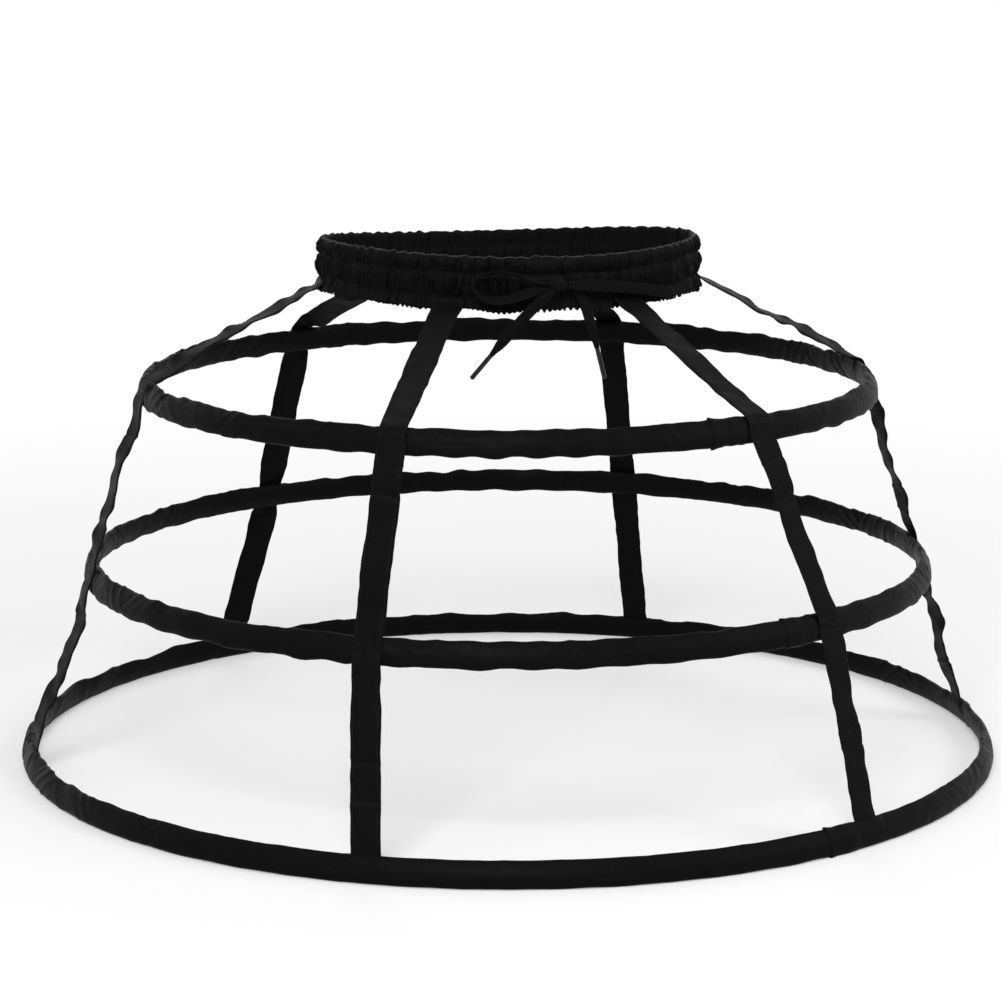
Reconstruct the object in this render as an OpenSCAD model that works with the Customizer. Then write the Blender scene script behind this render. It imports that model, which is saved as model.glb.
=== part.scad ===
// Crinoline cage: three boned hoops hung on six tapes from a gathered waistband with a drawstring.
// Millimetres. The axis is Z, the floor is z = 0 and the front, with the bow, faces -Y.

/* [Hoops] */
// Diameter of the bottom hoop, to the middle of its casing
bottom_hoop_d = 750; // [680:5:840]
// Diameter of the middle hoop, to the middle of its casing
middle_hoop_d = 648; // [590:2:700]
// Diameter of the top hoop, to the middle of its casing
top_hoop_d = 560; // [480:2:610]
// Height from the bottom hoop up to the middle hoop
lower_drop = 141; // [110:1:180]
// Height from the middle hoop up to the top hoop
upper_drop = 140; // [110:1:180]

/* [Hoop casings] */
// Height of a casing, measured along its lean
casing_h = 20; // [17:0.5:26]
// Thickness of the casing cloth with its turnings
casing_cloth = 1; // [0.8:0.1:1.4]
// Lean of the casings from upright, out towards the hem
casing_lean = 17; // [8:1:24]
// Length of the lap where the two ends of a casing are sewn over each other
lap_len = 30; // [20:1:45]
// Extra thickness of the casing on the lap
lap_t = 0.7; // [0.5:0.1:1.2]

/* [Bones] */
// Outside diameter of the plastic tube in each hoop
bone_d = 7; // [5:0.5:9]
// Bore of the plastic tube
bone_bore_d = 4; // [2.5:0.25:4.5]
// Length of the plug that joins the two ends of a tube
joiner_len = 60; // [40:1:90]
// Gap left between the two ends of a tube
bone_gap = 1; // [0.4:0.1:3]

/* [Tapes] */
// Width of a tape
tape_w = 22; // [16:0.5:28]
// Thickness of a tape, two layers of cloth
tape_t = 1.2; // [0.8:0.1:1.8]

/* [Waistband] */
// Diameter of the opening that goes round the waist
waist_d = 280; // [240:2:310]
// Height from the top hoop up to the rim of the waistband
waist_rise = 109; // [85:1:140]
// Height of the channel that holds the elastic, at the rim
elastic_channel_h = 12.5; // [11:0.5:18]
// Height of the channel that holds the drawstring
lace_channel_h = 17.5; // [13:0.5:24]
// Height of the ruffle under the lower row of stitches
ruffle_h = 9.5; // [7:0.5:14]
// Thickness of the waistband cloth
band_cloth = 1; // [0.8:0.1:1.5]
// How far each channel puffs out between its rows of stitches
channel_puff = 1.1; // [0.5:0.1:2]
// How far the hem of the ruffle stands out
ruffle_flare = 2.4; // [1:0.1:4]
// Width of one gather
gather_pitch = 7.5; // [6.5:0.25:12]
// Depth of a gather in the middle of a channel
gather_depth = 1.6; // [0.8:0.1:2.4]

/* [Elastic and drawstring] */
// Width of the elastic
elastic_w = 10; // [6:0.5:10]
// Thickness of the elastic
elastic_t = 1.4; // [0.8:0.1:1.6]
// Width of the flat lace
lace_w = 8; // [6:0.5:10]
// Thickness of the flat lace
lace_t = 1.6; // [1:0.1:2]
// Distance between the two buttonholes that let the lace out
buttonhole_gap = 9; // [7:0.5:14]
// Diameter of an aglet
aglet_d = 3.6; // [3:0.1:4.5]
// Length of an aglet
aglet_len = 24; // [16:1:30]

/* [Fit] */
// Gap between pieces that lie against each other
clearance = 0.3; // [0.2:0.05:0.5]
// Gap between a tube and the casing that it lies in
bone_clearance = 0.45; // [0.3:0.05:0.8]
// Gap round the plug in a tube's bore
plug_clearance = 0.1; // [0.05:0.05:0.2]

/* [Hidden] */

SATIN = "#1b1919";
LACE = "#242222";
PLASTIC = "#d9d6cc";
ELASTIC = "#e6e3dc";
GLOSS = "#141314";

// Angles are measured round the axis from the front, positive towards +X.
FRONT = -90;
BOW_ANGLE = 1.5;
// Each tape's angles at the waistband and at the top, the middle and the bottom hoop
FRONT_LEFT_TAPE = [-29.2, -28.6, -29.3, -27.3];
FRONT_RIGHT_TAPE = [24.6, 26.8, 32, 30.8];
LEFT_TAPE = [-90, -88, -87, -89];
RIGHT_TAPE = [90, 89, 88, 89];
BACK_LEFT_TAPE = [-153, -154, -153.5, -151.5];
BACK_RIGHT_TAPE = [150, 150, 150, 150];
LAP_SHARE = 0.6;
CASING_GAP = 1;
WAIST_FN = 360;
SMALL_FN = 32;
ARC_STEP = 12;

// Hoop sections: [radius, height] of the middle of each casing.
casing_t = bone_d + 2 * (bone_clearance + casing_cloth);
casing_reach = (casing_h - casing_t) / 2;
bottom_z = casing_reach * cos(casing_lean) + casing_t / 2;
BOTTOM = [bottom_hoop_d / 2, bottom_z];
MIDDLE = [middle_hoop_d / 2, bottom_z + lower_drop];
TOP = [top_hoop_d / 2, bottom_z + lower_drop + upper_drop];

// The casing's own directions in the section: down along its lean, and straight out of its face.
lean_down = [sin(casing_lean), -cos(casing_lean)];
lean_out = [cos(casing_lean), sin(casing_lean)];

// Waistband radii and heights
waist_r = waist_d / 2;
seam_r = waist_r + 2 * band_cloth + max(lace_t, elastic_t) + 2 * clearance;
rim_z = TOP[1] + waist_rise;
mid_seam_z = rim_z - elastic_channel_h;
low_seam_z = mid_seam_z - lace_channel_h;
hem_z = low_seam_z - ruffle_h;
rim_r = (waist_r + seam_r) / 2;
gathers = round(360 * seam_r * PI / 180 / gather_pitch);
PINCH = 0.25;
HEM_SWELL = 1.25;
CHANNEL_ROWS = [0, 1/3, 2/3];
RUFFLE_ROWS = [0, 0.5, 1];

// The outermost surface of the ruffle, from its stitches (0) to its hem (1)
function ruffle_face(share) =
    seam_r + ruffle_flare * share + gather_depth * (PINCH + (HEM_SWELL - PINCH) * share);

// Drawstring places, all near the front of the waistband: the lace runs high in its channel.
lace_z = mid_seam_z - lace_w / 2 - clearance - band_cloth;
run_r = waist_r + band_cloth + clearance;
lace_out_r = seam_r + channel_puff + gather_depth + clearance;
knot_d = 10;
knot_len = 15;
knot_r = lace_out_r + clearance + knot_d / 2;
knot_z = lace_z + lace_w / 4;

// Routes of the free lace: x, y, z, roll of the lace about its run and its width there.
// Roll 0 sets the width straight out from the waistband and roll 90 lays the lace flat on it.
LEFT_LOOP = [
    [-4.4, -154.6, 385.5, 10, 8], [-7.4, -154.7, 385.7, 10, 8], [-11.1, -154.6, 386.4, 10, 8],
    [-17.6, -154, 388.6, 12, 8], [-25.5, -152.9, 391.8, 15, 8], [-32.6, -151.3, 393.7, 18, 8],
    [-38.8, -149.3, 394.3, 20, 8], [-45, -147.1, 393.8, 15, 8], [-50.8, -144.7, 391.8, 8, 8],
    [-54.9, -143, 388.4, 0, 8], [-56.3, -142.5, 384.8, 0, 8], [-55.6, -142.8, 380.8, 0, 8],
    [-52.5, -144.1, 377, 12, 8], [-47.8, -146.3, 374.7, 28, 8], [-42.3, -148.5, 373.8, 42, 8],
    [-36.8, -150.4, 374.1, 48, 8], [-29.8, -152.1, 375.5, 52, 8], [-21.2, -153.7, 378.2, 58, 8],
    [-14, -154.4, 380.6, 62, 8], [-8.8, -154.5, 382.1, 65, 8], [-4.4, -154.6, 383.2, 68, 8]
];
RIGHT_LOOP = [
    [12.1, -155, 384.5, 90, 8], [17.2, -154.6, 384.2, 90, 8], [25, -153.4, 383.5, 90, 8],
    [37.8, -149.9, 382.2, 90, 8], [51, -145.3, 380.6, 90, 8], [64.5, -139.6, 378.6, 90, 8],
    [76.8, -133.3, 376.5, 90, 8], [87.8, -126.3, 374.2, 90, 8], [95.5, -120.3, 372.4, 90, 8],
    [97.2, -118, 372.2, 90, 8], [96.8, -116.6, 372.2, 90, 8], [94.8, -116.9, 372.4, 90, 8],
    [91.1, -119.6, 373.5, 90, 8], [79.9, -127.3, 376.1, 90, 8], [67.4, -134.5, 378.5, 90, 8],
    [53.6, -140.7, 380.7, 90, 8], [40.3, -145.7, 382.4, 90, 8], [27.4, -149.5, 383.7, 90, 8],
    [18.8, -151.1, 384.2, 90, 8], [12.9, -151.9, 384.5, 90, 8]
];
LEFT_TAIL = [
    [-0.5, -158.8, 381.5, 90, 8], [-6.1, -158.9, 376.7, 90, 8], [-12.6, -158.4, 371, 90, 8],
    [-19.7, -157, 363.9, 90, 8], [-26.7, -155.1, 355.9, 90, 8], [-32.9, -152.9, 348.5, 90, 8],
    [-37.3, -151, 342.8, 90, 7.5], [-40, -149.5, 339.2, 90, 6], [-42, -148.5, 336.6, 90, 4.5],
    [-44, -147.4, 333.9, 90, 3.6]
];
RIGHT_TAIL = [
    [12.5, -149.5, 383.5, 90, 8], [17.6, -148.4, 381.5, 90, 8], [21.1, -147.8, 378.2, 90, 8],
    [23.8, -147.6, 373.7, 90, 8], [25.6, -148, 368.9, 90, 8], [27, -148.4, 364.2, 90, 8],
    [28.5, -148.5, 359.4, 90, 8], [30.1, -148.5, 354.2, 90, 8], [31.6, -148.4, 348.9, 90, 7.5],
    [33.1, -148.2, 344.1, 90, 6], [34, -147.9, 340.3, 90, 4.5], [34.9, -147.7, 336.9, 90, 3.6]
];
LACE_SIDES = 8;

// Vector helpers
function unit(v) = v / norm(v);
function turned(v) = [-v[1], v[0]];

// One side of a band of cloth: a flat path moved sideways by an offset, mitred at its corners.
function path_side(path, offset) = [
    for (i = [0 : len(path) - 1])
        let (before = unit(path[max(i, 1)] - path[max(i, 1) - 1]))
        let (after = unit(path[min(i + 1, len(path) - 1)] - path[min(i + 1, len(path) - 1) - 1]))
        let (across = unit(turned(before) + turned(after)))
        path[i] + across * offset / (across * turned(before))
];

// A tape's middle line where it comes down over the top of a hoop and along its face.
function wrap_path(hoop, from) =
    let (shoulder = hoop - lean_down * casing_reach)
    let (wrap_r = casing_t / 2 + clearance + tape_t / 2)
    let (run = shoulder - from)
    let (meet = atan2(run[0], -run[1]) + asin(wrap_r / norm(run)))
    let (steps = max(0, round((meet - casing_lean) / ARC_STEP)))
    concat(
        [for (i = [0 : steps])
            let (a = casing_lean + (steps == 0 ? 0 : (meet - casing_lean) * (steps - i) / steps))
            shoulder + wrap_r * [cos(a), sin(a)]],
        [hoop + lean_out * wrap_r + lean_down * casing_reach]
    );

// A tape's middle line in the section: over the ruffle, outside two hoops, down to the bottom casing's seam.
tape_start = [
    [ruffle_face(0) + clearance + tape_t / 2, low_seam_z],
    [ruffle_face(0.5) + clearance + tape_t / 2, low_seam_z - ruffle_h / 2]
];
tape_end = BOTTOM - lean_down * (casing_h / 2 + clearance);
over_top = wrap_path(TOP, tape_start[1]);
over_middle = wrap_path(MIDDLE, over_top[len(over_top) - 1]);
tape_path = concat(tape_start, over_top, over_middle, [tape_end]);

// Cuts a hoop's length into degrees at its own radius.
function degrees_of(length, radius) = length / radius * 180 / PI;

// The front right tape's angle at a hoop, and the angle at which that hoop's lap ends, just short of it
function lap_tape_angle(hoop) = FRONT_RIGHT_TAPE[hoop == TOP ? 1 : hoop == MIDDLE ? 2 : 3];
function lap_end(hoop) = lap_tape_angle(hoop) - degrees_of(tape_w / 2 + clearance, hoop[0]);
function joint_angle(hoop) = lap_end(hoop) - degrees_of(lap_len / 2, hoop[0]);

// The outer face of the waistband at a column: a row is [radius, height, gather depth].
function band_rows() = concat(
    [[rim_r, rim_z, gather_depth * PINCH]],
    [for (i = [2 : -1 : 0]) channel_row(mid_seam_z, elastic_channel_h, CHANNEL_ROWS[i])],
    [for (i = [2 : -1 : 1]) channel_row(low_seam_z, lace_channel_h, CHANNEL_ROWS[i])],
    [for (share = RUFFLE_ROWS) [
        seam_r + ruffle_flare * share,
        low_seam_z - ruffle_h * share,
        gather_depth * (PINCH + (HEM_SWELL - PINCH) * share)
    ]]
);
function channel_row(base_z, height, share) = [
    seam_r + channel_puff * sin(180 * share),
    base_z + height * share,
    gather_depth * (PINCH + (1 - PINCH) * sin(180 * share))
];
// The inner side of the section, plain: inside the ruffle, under the channels and past the opening's wall
function inner_rows() = [
    [seam_r + ruffle_flare - band_cloth, hem_z, gather_depth * HEM_SWELL],
    [seam_r - band_cloth, low_seam_z - band_cloth, 0],
    [waist_r - band_cloth, low_seam_z - band_cloth, 0],
    [waist_r - band_cloth, rim_z, 0]
];

// A ring swept round the axis, with its columns alternately on the valleys and the crests of the gathers.
module gathered_ring(rows, count) {
    columns = 2 * count;
    size = len(rows);
    points = [for (c = [0 : columns - 1], row = rows)
        let (a = 360 * c / columns)
        let (r = row[0] + (c % 2) * row[2])
        [r * cos(a), r * sin(a), row[1]]];
    faces = [for (c = [0 : columns - 1], k = [0 : size - 1], half = [0, 1])
        let (a = c * size + k)
        let (b = c * size + (k + 1) % size)
        let (d = ((c + 1) % columns) * size + k)
        let (e = ((c + 1) % columns) * size + (k + 1) % size)
        half == 0 ? [a, e, b] : [a, d, e]];
    polyhedron(points, faces, convexity = 12);
}

// Places children, drawn for the front centre line, at an angle round the axis.
module at_angle(angle) {
    rotate([0, 0, angle]) children();
}

// A ring of a section between two angles round the axis
module arc_ring(start, sweep) {
    rotate([0, 0, FRONT + start]) rotate_extrude(angle = sweep, $fn = WAIST_FN) children();
}

// The oval section of a casing, leaning with the cage's slope
module oval_section(hoop, height, thickness) {
    translate(hoop) rotate(casing_lean) {
        square([thickness, height - thickness], center = true);
        for (end = [-1, 1])
            translate([0, end * (height - thickness) / 2]) circle(d = thickness, $fn = SMALL_FN);
    }
}

// The section of a layer of cloth round a hoop, between two offsets from the casing's outer face
module cloth_section(hoop, outer, inner) {
    difference() {
        oval_section(hoop, casing_h + 2 * outer, casing_t + 2 * outer);
        oval_section(hoop, casing_h - 2 * inner, casing_t - 2 * inner);
    }
}

// A hoop's cloth tube, hollow for the bone: its two ends nearly meet, and the lap is sewn over them.
module hoop_casing(hoop) {
    sweep = degrees_of(lap_len, hoop[0]);
    gap = degrees_of(CASING_GAP, hoop[0]);
    color(SATIN) {
        arc_ring(joint_angle(hoop) + gap / 2, 360 - gap) cloth_section(hoop, 0, casing_cloth);
        arc_ring(lap_end(hoop) - sweep, sweep) cloth_section(hoop, lap_t, LAP_SHARE * casing_cloth);
    }
}

// The plastic tube of a hoop, lying in the bottom of its casing and open at its joint
module hoop_bone(hoop) {
    gap = degrees_of(bone_gap, hoop[0]);
    color(PLASTIC) arc_ring(joint_angle(hoop) + gap / 2, 360 - gap)
        translate(hoop + lean_down * casing_reach) difference() {
            circle(d = bone_d, $fn = SMALL_FN);
            circle(d = bone_bore_d, $fn = SMALL_FN);
        }
}

// The plug inside the two ends of a hoop's tube
module hoop_joiner(hoop) {
    sweep = degrees_of(joiner_len, hoop[0]);
    color(PLASTIC) arc_ring(joint_angle(hoop) - sweep / 2, sweep)
        translate(hoop + lean_down * casing_reach)
            circle(d = bone_bore_d - 2 * plug_clearance, $fn = SMALL_FN);
}

// One tape: its section is carried down the path, at the angles it has at the waistband and the hoops.
module tape(angles) {
    turns = concat(
        [for (p = tape_start) angles[0]], [for (p = over_top) angles[1]],
        [for (p = over_middle) angles[2]], [angles[3]]
    );
    outer = path_side(tape_path, tape_t / 2);
    inner = path_side(tape_path, -tape_t / 2);
    last = len(tape_path) - 1;
    points = [for (i = [0 : last], corner = [[1, outer], [-1, outer], [-1, inner], [1, inner]])
        let (wide = corner[0] * tape_w / 2)
        let (r = corner[1][i][0])
        let (a = turns[i])
        [r * sin(a) + wide * cos(a), wide * sin(a) - r * cos(a), corner[1][i][1]]];
    sides = [for (i = [0 : last - 1], k = [0 : 3], half = [0, 1])
        let (a = 4 * i + k)
        let (b = 4 * i + (k + 1) % 4)
        half == 0 ? [a, b, b + 4] : [a, b + 4, a + 4]];
    end_cap = [for (k = [0 : 3]) 4 * last + k];
    color(SATIN) polyhedron(points, concat([[3, 2, 1, 0]], sides, [end_cap]), convexity = 6);
}

// A flat band round the waist: its inner radius, thickness, middle height and width
module waist_ring(inner_r, thickness, middle_z, width, start, sweep) {
    arc_ring(start, sweep) translate([inner_r, middle_z - width / 2]) square([thickness, width]);
}

// The lace's two ends in the buttonholes, or with extra room the buttonholes themselves
module buttonhole_lace(room) {
    for (side = [-1, 1]) at_angle(BOW_ANGLE)
        translate([side * buttonhole_gap / 2 - lace_t / 2 - room, -lace_out_r, lace_z - lace_w / 2 - room])
            cube([lace_t + 2 * room, lace_out_r - run_r - lace_t / 2, lace_w + 2 * room]);
}

module waistband_casing() {
    channel_r = run_r - clearance;
    elastic_z = mid_seam_z + elastic_channel_h / 2;
    color(SATIN) difference() {
        gathered_ring(concat(band_rows(), inner_rows()), gathers);
        translate([0, 0, hem_z]) cylinder(r = waist_r, h = rim_z - hem_z + band_cloth, $fn = WAIST_FN);
        waist_ring(channel_r, elastic_t + 2 * clearance, elastic_z, elastic_w + 2 * clearance, 0, 360);
        waist_ring(channel_r, lace_t + 2 * clearance, lace_z, lace_w + 2 * clearance, 0, 360);
        buttonhole_lace(clearance);
    }
}

module waist_elastic() {
    color(ELASTIC)
        waist_ring(run_r, elastic_t, mid_seam_z + elastic_channel_h / 2, elastic_w, 0, 360);
}

// The lace inside its channel, from one buttonhole round the back to the other
module drawstring_channel_run() {
    edge = degrees_of(buttonhole_gap / 2 - lace_t / 2, run_r);
    color(LACE) {
        waist_ring(run_r, lace_t, lace_z, lace_w, BOW_ANGLE + edge, 360 - 2 * edge);
        buttonhole_lace(0);
    }
}

// A flat lace swept along a route, with an oval section of the lace's own area
module lace(route) {
    last = len(route) - 1;
    points = [for (i = [0 : last], k = [0 : LACE_SIDES - 1])
        let (p = [route[i][0], route[i][1], route[i][2]])
        let (a = route[max(i - 1, 0)])
        let (b = route[min(i + 1, last)])
        let (along = unit([b[0] - a[0], b[1] - a[1], b[2] - a[2]]))
        let (out = unit([p[0], p[1], 0]))
        let (flat = unit(out - along * (out * along)))
        let (face = cross(along, flat))
        let (wide = flat * cos(route[i][3]) + face * sin(route[i][3]))
        let (thick = cross(along, wide))
        let (w = route[i][4])
        let (turn = 360 * k / LACE_SIDES)
        p + wide * cos(turn) * w / 2 + thick * sin(turn) * lace_w * lace_t / w / 2];
    sides = [for (i = [0 : last - 1], k = [0 : LACE_SIDES - 1], half = [0, 1])
        let (n = (k + 1) % LACE_SIDES)
        let (a = i * LACE_SIDES + k)
        let (b = i * LACE_SIDES + n)
        half == 0 ? [a, b, b + LACE_SIDES] : [a, b + LACE_SIDES, a + LACE_SIDES]];
    start_cap = [for (k = [LACE_SIDES - 1 : -1 : 0]) k];
    end_cap = [for (k = [0 : LACE_SIDES - 1]) last * LACE_SIDES + k];
    color(LACE) polyhedron(points, concat([start_cap], sides, [end_cap]), convexity = 6);
}

// The wrapped knot of the bow, a short barrel across the front
module drawstring_knot() {
    rounding = knot_d / 4;
    color(LACE) at_angle(BOW_ANGLE) translate([0, -knot_r, knot_z]) rotate([0, 90, 0])
        rotate_extrude($fn = SMALL_FN) {
            translate([0, -knot_len / 2]) square([knot_d / 2 - rounding, knot_len]);
            translate([0, rounding - knot_len / 2]) square([knot_d / 2, knot_len - 2 * rounding]);
            for (end = [-1, 1])
                translate([knot_d / 2 - rounding, end * (knot_len / 2 - rounding)])
                    circle(r = rounding, $fn = SMALL_FN);
        }
}

// The sleeve on a lace's end, carrying on the way the lace runs, with a blunt tip
module aglet(route) {
    last = len(route) - 1;
    tip = aglet_d / 4;
    from = [route[last][0], route[last][1], route[last][2]];
    along = unit(from - [route[last - 1][0], route[last - 1][1], route[last - 1][2]]);
    color(GLOSS) translate(from)
        rotate([0, acos(along[2]), atan2(along[1], along[0])]) {
            cylinder(d = aglet_d, h = aglet_len - tip, $fn = SMALL_FN);
            translate([0, 0, aglet_len - tip])
                cylinder(d1 = aglet_d, d2 = aglet_d - 2 * tip, h = tip, $fn = SMALL_FN);
        }
}

waistband_casing();
waist_elastic();
drawstring_channel_run();
drawstring_knot();
lace(LEFT_LOOP);  // drawstring_left_loop
lace(RIGHT_LOOP);  // drawstring_right_loop
lace(LEFT_TAIL);  // drawstring_left_tail
lace(RIGHT_TAIL);  // drawstring_right_tail
aglet(LEFT_TAIL);  // left_aglet
aglet(RIGHT_TAIL);  // right_aglet
hoop_casing(TOP);  // top_hoop_casing
hoop_casing(MIDDLE);  // middle_hoop_casing
hoop_casing(BOTTOM);  // bottom_hoop_casing
hoop_bone(TOP);  // top_hoop_bone
hoop_bone(MIDDLE);  // middle_hoop_bone
hoop_bone(BOTTOM);  // bottom_hoop_bone
hoop_joiner(TOP);  // top_hoop_joiner
hoop_joiner(MIDDLE);  // middle_hoop_joiner
hoop_joiner(BOTTOM);  // bottom_hoop_joiner
tape(FRONT_LEFT_TAPE);  // front_left_tape
tape(FRONT_RIGHT_TAPE);  // front_right_tape
tape(LEFT_TAPE);  // left_tape
tape(RIGHT_TAPE);  // right_tape
tape(BACK_LEFT_TAPE);  // back_left_tape
tape(BACK_RIGHT_TAPE);  // back_right_tape
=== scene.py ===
import logging
import math
from dataclasses import dataclass, field
from enum import Enum

import bpy
import numpy as np
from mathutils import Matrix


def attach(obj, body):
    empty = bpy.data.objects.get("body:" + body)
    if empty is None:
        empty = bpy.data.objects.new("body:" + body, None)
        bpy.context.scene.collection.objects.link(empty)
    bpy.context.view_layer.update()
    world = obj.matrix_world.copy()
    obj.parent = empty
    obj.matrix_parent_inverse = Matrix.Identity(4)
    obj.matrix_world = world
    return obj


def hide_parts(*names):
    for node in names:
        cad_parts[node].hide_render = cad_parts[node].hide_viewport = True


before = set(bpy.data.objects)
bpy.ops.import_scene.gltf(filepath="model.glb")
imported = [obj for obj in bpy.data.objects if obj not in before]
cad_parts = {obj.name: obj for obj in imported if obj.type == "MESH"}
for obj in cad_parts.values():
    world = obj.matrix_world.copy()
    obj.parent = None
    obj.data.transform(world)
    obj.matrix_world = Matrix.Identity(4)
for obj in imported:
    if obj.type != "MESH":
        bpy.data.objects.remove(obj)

Array = np.ndarray
LOG = logging.getLogger("crinoline_cage")
MM = 0.001
# Polyester, acetate, nylon and polyethylene all bend light by about this much.
POLYMER_IOR = 1.5
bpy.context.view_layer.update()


class Slot(Enum):
    """The record's material slots; no piece here is given one."""

    SATIN = "satin"
    LACE = "lace"
    ELASTIC = "elastic"
    AGLET = "aglet"


def linear(colour: str) -> tuple[float, float, float, float]:
    """Turn an sRGB hex colour into linear light.

    Args:
        colour: six hex digits after a hash sign.

    Returns:
        Red, green, blue and an alpha of 1.
    """
    parts = [int(colour[i:i + 2], 16) / 255 for i in (1, 3, 5)]
    red, green, blue = [p / 12.92 if p <= 0.04045 else ((p + 0.055) / 1.055) ** 2.4 for p in parts]
    return red, green, blue, 1.0


def add_node(tree: bpy.types.NodeTree, kind: str, inputs: dict | None = None,
             **settings: object) -> bpy.types.Node:
    """Add a node with its settings and links.

    Args:
        tree: the node tree.
        kind: the node's type.
        inputs: for each input socket, another node's output to link or a value to set.
        **settings: the node's own properties.

    Returns:
        The new node.
    """
    node = tree.nodes.new(kind)
    for name, value in settings.items():
        setattr(node, name, value)
    for socket, value in (inputs or {}).items():
        if isinstance(value, bpy.types.NodeSocket):
            tree.links.new(value, node.inputs[socket])
        else:
            node.inputs[socket].default_value = value
    return node


def new_material(name: str) -> tuple[bpy.types.Material, bpy.types.NodeTree]:
    """Make an empty node material.

    Args:
        name: the real material's name.

    Returns:
        The material and its node tree.
    """
    material = bpy.data.materials.new(name)
    material.use_nodes = True
    material.node_tree.nodes.clear()
    return material, material.node_tree


def close_material(tree: bpy.types.NodeTree, share: bpy.types.NodeSocket, dark: str, light: str,
                   surface: dict) -> None:
    """Blend a finish's two colours and hand them to its surface shader.

    Args:
        tree: the material's node tree.
        share: output that is 0 where the dark colour lies and 1 where the light one does.
        dark: the dark colour in hex.
        light: the light colour in hex.
        surface: the shader's other inputs.
    """
    tone = add_node(tree, "ShaderNodeMix", {0: share, 6: linear(dark), 7: linear(light)}, data_type="RGBA")
    shader = add_node(tree, "ShaderNodeBsdfPrincipled",
                      {"Base Color": tone.outputs[2], "IOR": POLYMER_IOR, **surface})
    add_node(tree, "ShaderNodeOutputMaterial", {"Surface": shader.outputs["BSDF"]})


def wave_scale(pitch_mm: float) -> float:
    """Give the wave pattern's scale for a pitch: at scale 1 its waves are a twentieth of a full turn long."""
    return 2 * math.pi / (20 * pitch_mm * MM)


def noise_scale(size_mm: float) -> float:
    """Give the noise pattern's scale for a size: at scale 1 its patches are a metre wide."""
    return 1 / (size_mm * MM)


def ease(x: Array, low: float, high: float) -> Array:
    """Rise smoothly from 0 at low to 1 at high: three times the square less twice the cube of the share."""
    share = np.clip((x - low) / (high - low), 0, 1)
    return share * share * (3 - 2 * share)


def window(x: Array, low: float, high: float, soft: float) -> Array:
    """Give 1 between low and high and 0 outside, with soft shoulders of the given width."""
    return ease(x, low - soft / 2, low + soft / 2) * (1 - ease(x, high - soft / 2, high + soft / 2))


def bell(x: Array, middle: Array | float, width: float) -> Array:
    """Give a bell curve of height 1: e to the minus square of the distance from the middle in widths."""
    return np.exp(-((x - middle) / width) ** 2)


def waver(turn: Array, slowest: int, fastest: int, seed: int, terms: int = 9) -> Array:
    """Give a smooth wandering value of about unit size that closes after a full turn.

    The value is a sum of sines whose whole-number rates lie between slowest and fastest, with seeded
    rates, weights and phases, divided by its own usual size.

    Args:
        turn: angles in radians.
        slowest: fewest waves in a full turn.
        fastest: most waves in a full turn.
        seed: seed of the rates, weights and phases.
        terms: number of sines.

    Returns:
        The value at each angle.
    """
    dice = np.random.default_rng(seed)
    rates = dice.integers(slowest, fastest + 1, terms)
    weights = dice.uniform(0.5, 1.0, terms)
    phases = dice.uniform(0, 2 * np.pi, terms)
    return np.sin(turn[..., None] * rates + phases) @ weights / math.sqrt((weights ** 2).sum() / 2)


def unit(vectors: Array) -> Array:
    """Scale vectors to length 1."""
    return vectors / np.linalg.norm(vectors, axis=-1, keepdims=True)


def full_turn(count: int) -> Array:
    """Give evenly spaced angles of one full turn, without its end."""
    return np.arange(count) * 2 * np.pi / count


def squared(x: Array, power: float) -> Array:
    """Raise a sine or cosine to a power and keep its sign, which squares off a round section."""
    return np.sign(x) * np.abs(x) ** power


def reach_along(points: Array) -> Array:
    """Give the distance along a line at each of its points: the running sum of its steps."""
    return np.concatenate([[0], np.cumsum(np.linalg.norm(np.diff(points, axis=0), axis=1))])


def about_axis(turn: Array, r: Array | float, z: Array) -> Array:
    """Give points from their angle from the front, their distance from the axis and their height."""
    return np.stack([r * np.sin(turn), -r * np.cos(turn), z], -1)


def smooth_route(route: Array, step: float) -> Array:
    """Sample a smooth curve through a route's points at an even step.

    Each stretch between two points is a cubic that has the points' own slopes at its ends.

    Args:
        route: points, one in a row, with any further values after the first three columns.
        step: distance between samples.

    Returns:
        The samples, with the same columns.
    """
    knots = reach_along(route[:, :3])
    at = np.linspace(0, knots[-1], int(math.ceil(knots[-1] / step)) + 1)
    slope = np.gradient(route, knots, axis=0)
    k = np.clip(np.searchsorted(knots, at, side="right") - 1, 0, len(knots) - 2)
    span = (knots[k + 1] - knots[k])[:, None]
    t = (at - knots[k])[:, None] / span
    return ((2 * t ** 3 - 3 * t ** 2 + 1) * route[k] + (t ** 3 - 2 * t ** 2 + t) * span * slope[k]
            + (3 * t ** 2 - 2 * t ** 3) * route[k + 1] + (t ** 3 - t ** 2) * span * slope[k + 1])


def link_mesh(name: str, mesh: bpy.types.Mesh) -> bpy.types.Object:
    """Put a mesh into the scene.

    Args:
        name: the object's name.
        mesh: its mesh.

    Returns:
        The object, unturned and at the origin.
    """
    piece = bpy.data.objects.new(name, mesh)
    bpy.context.scene.collection.objects.link(piece)
    return piece


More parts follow.
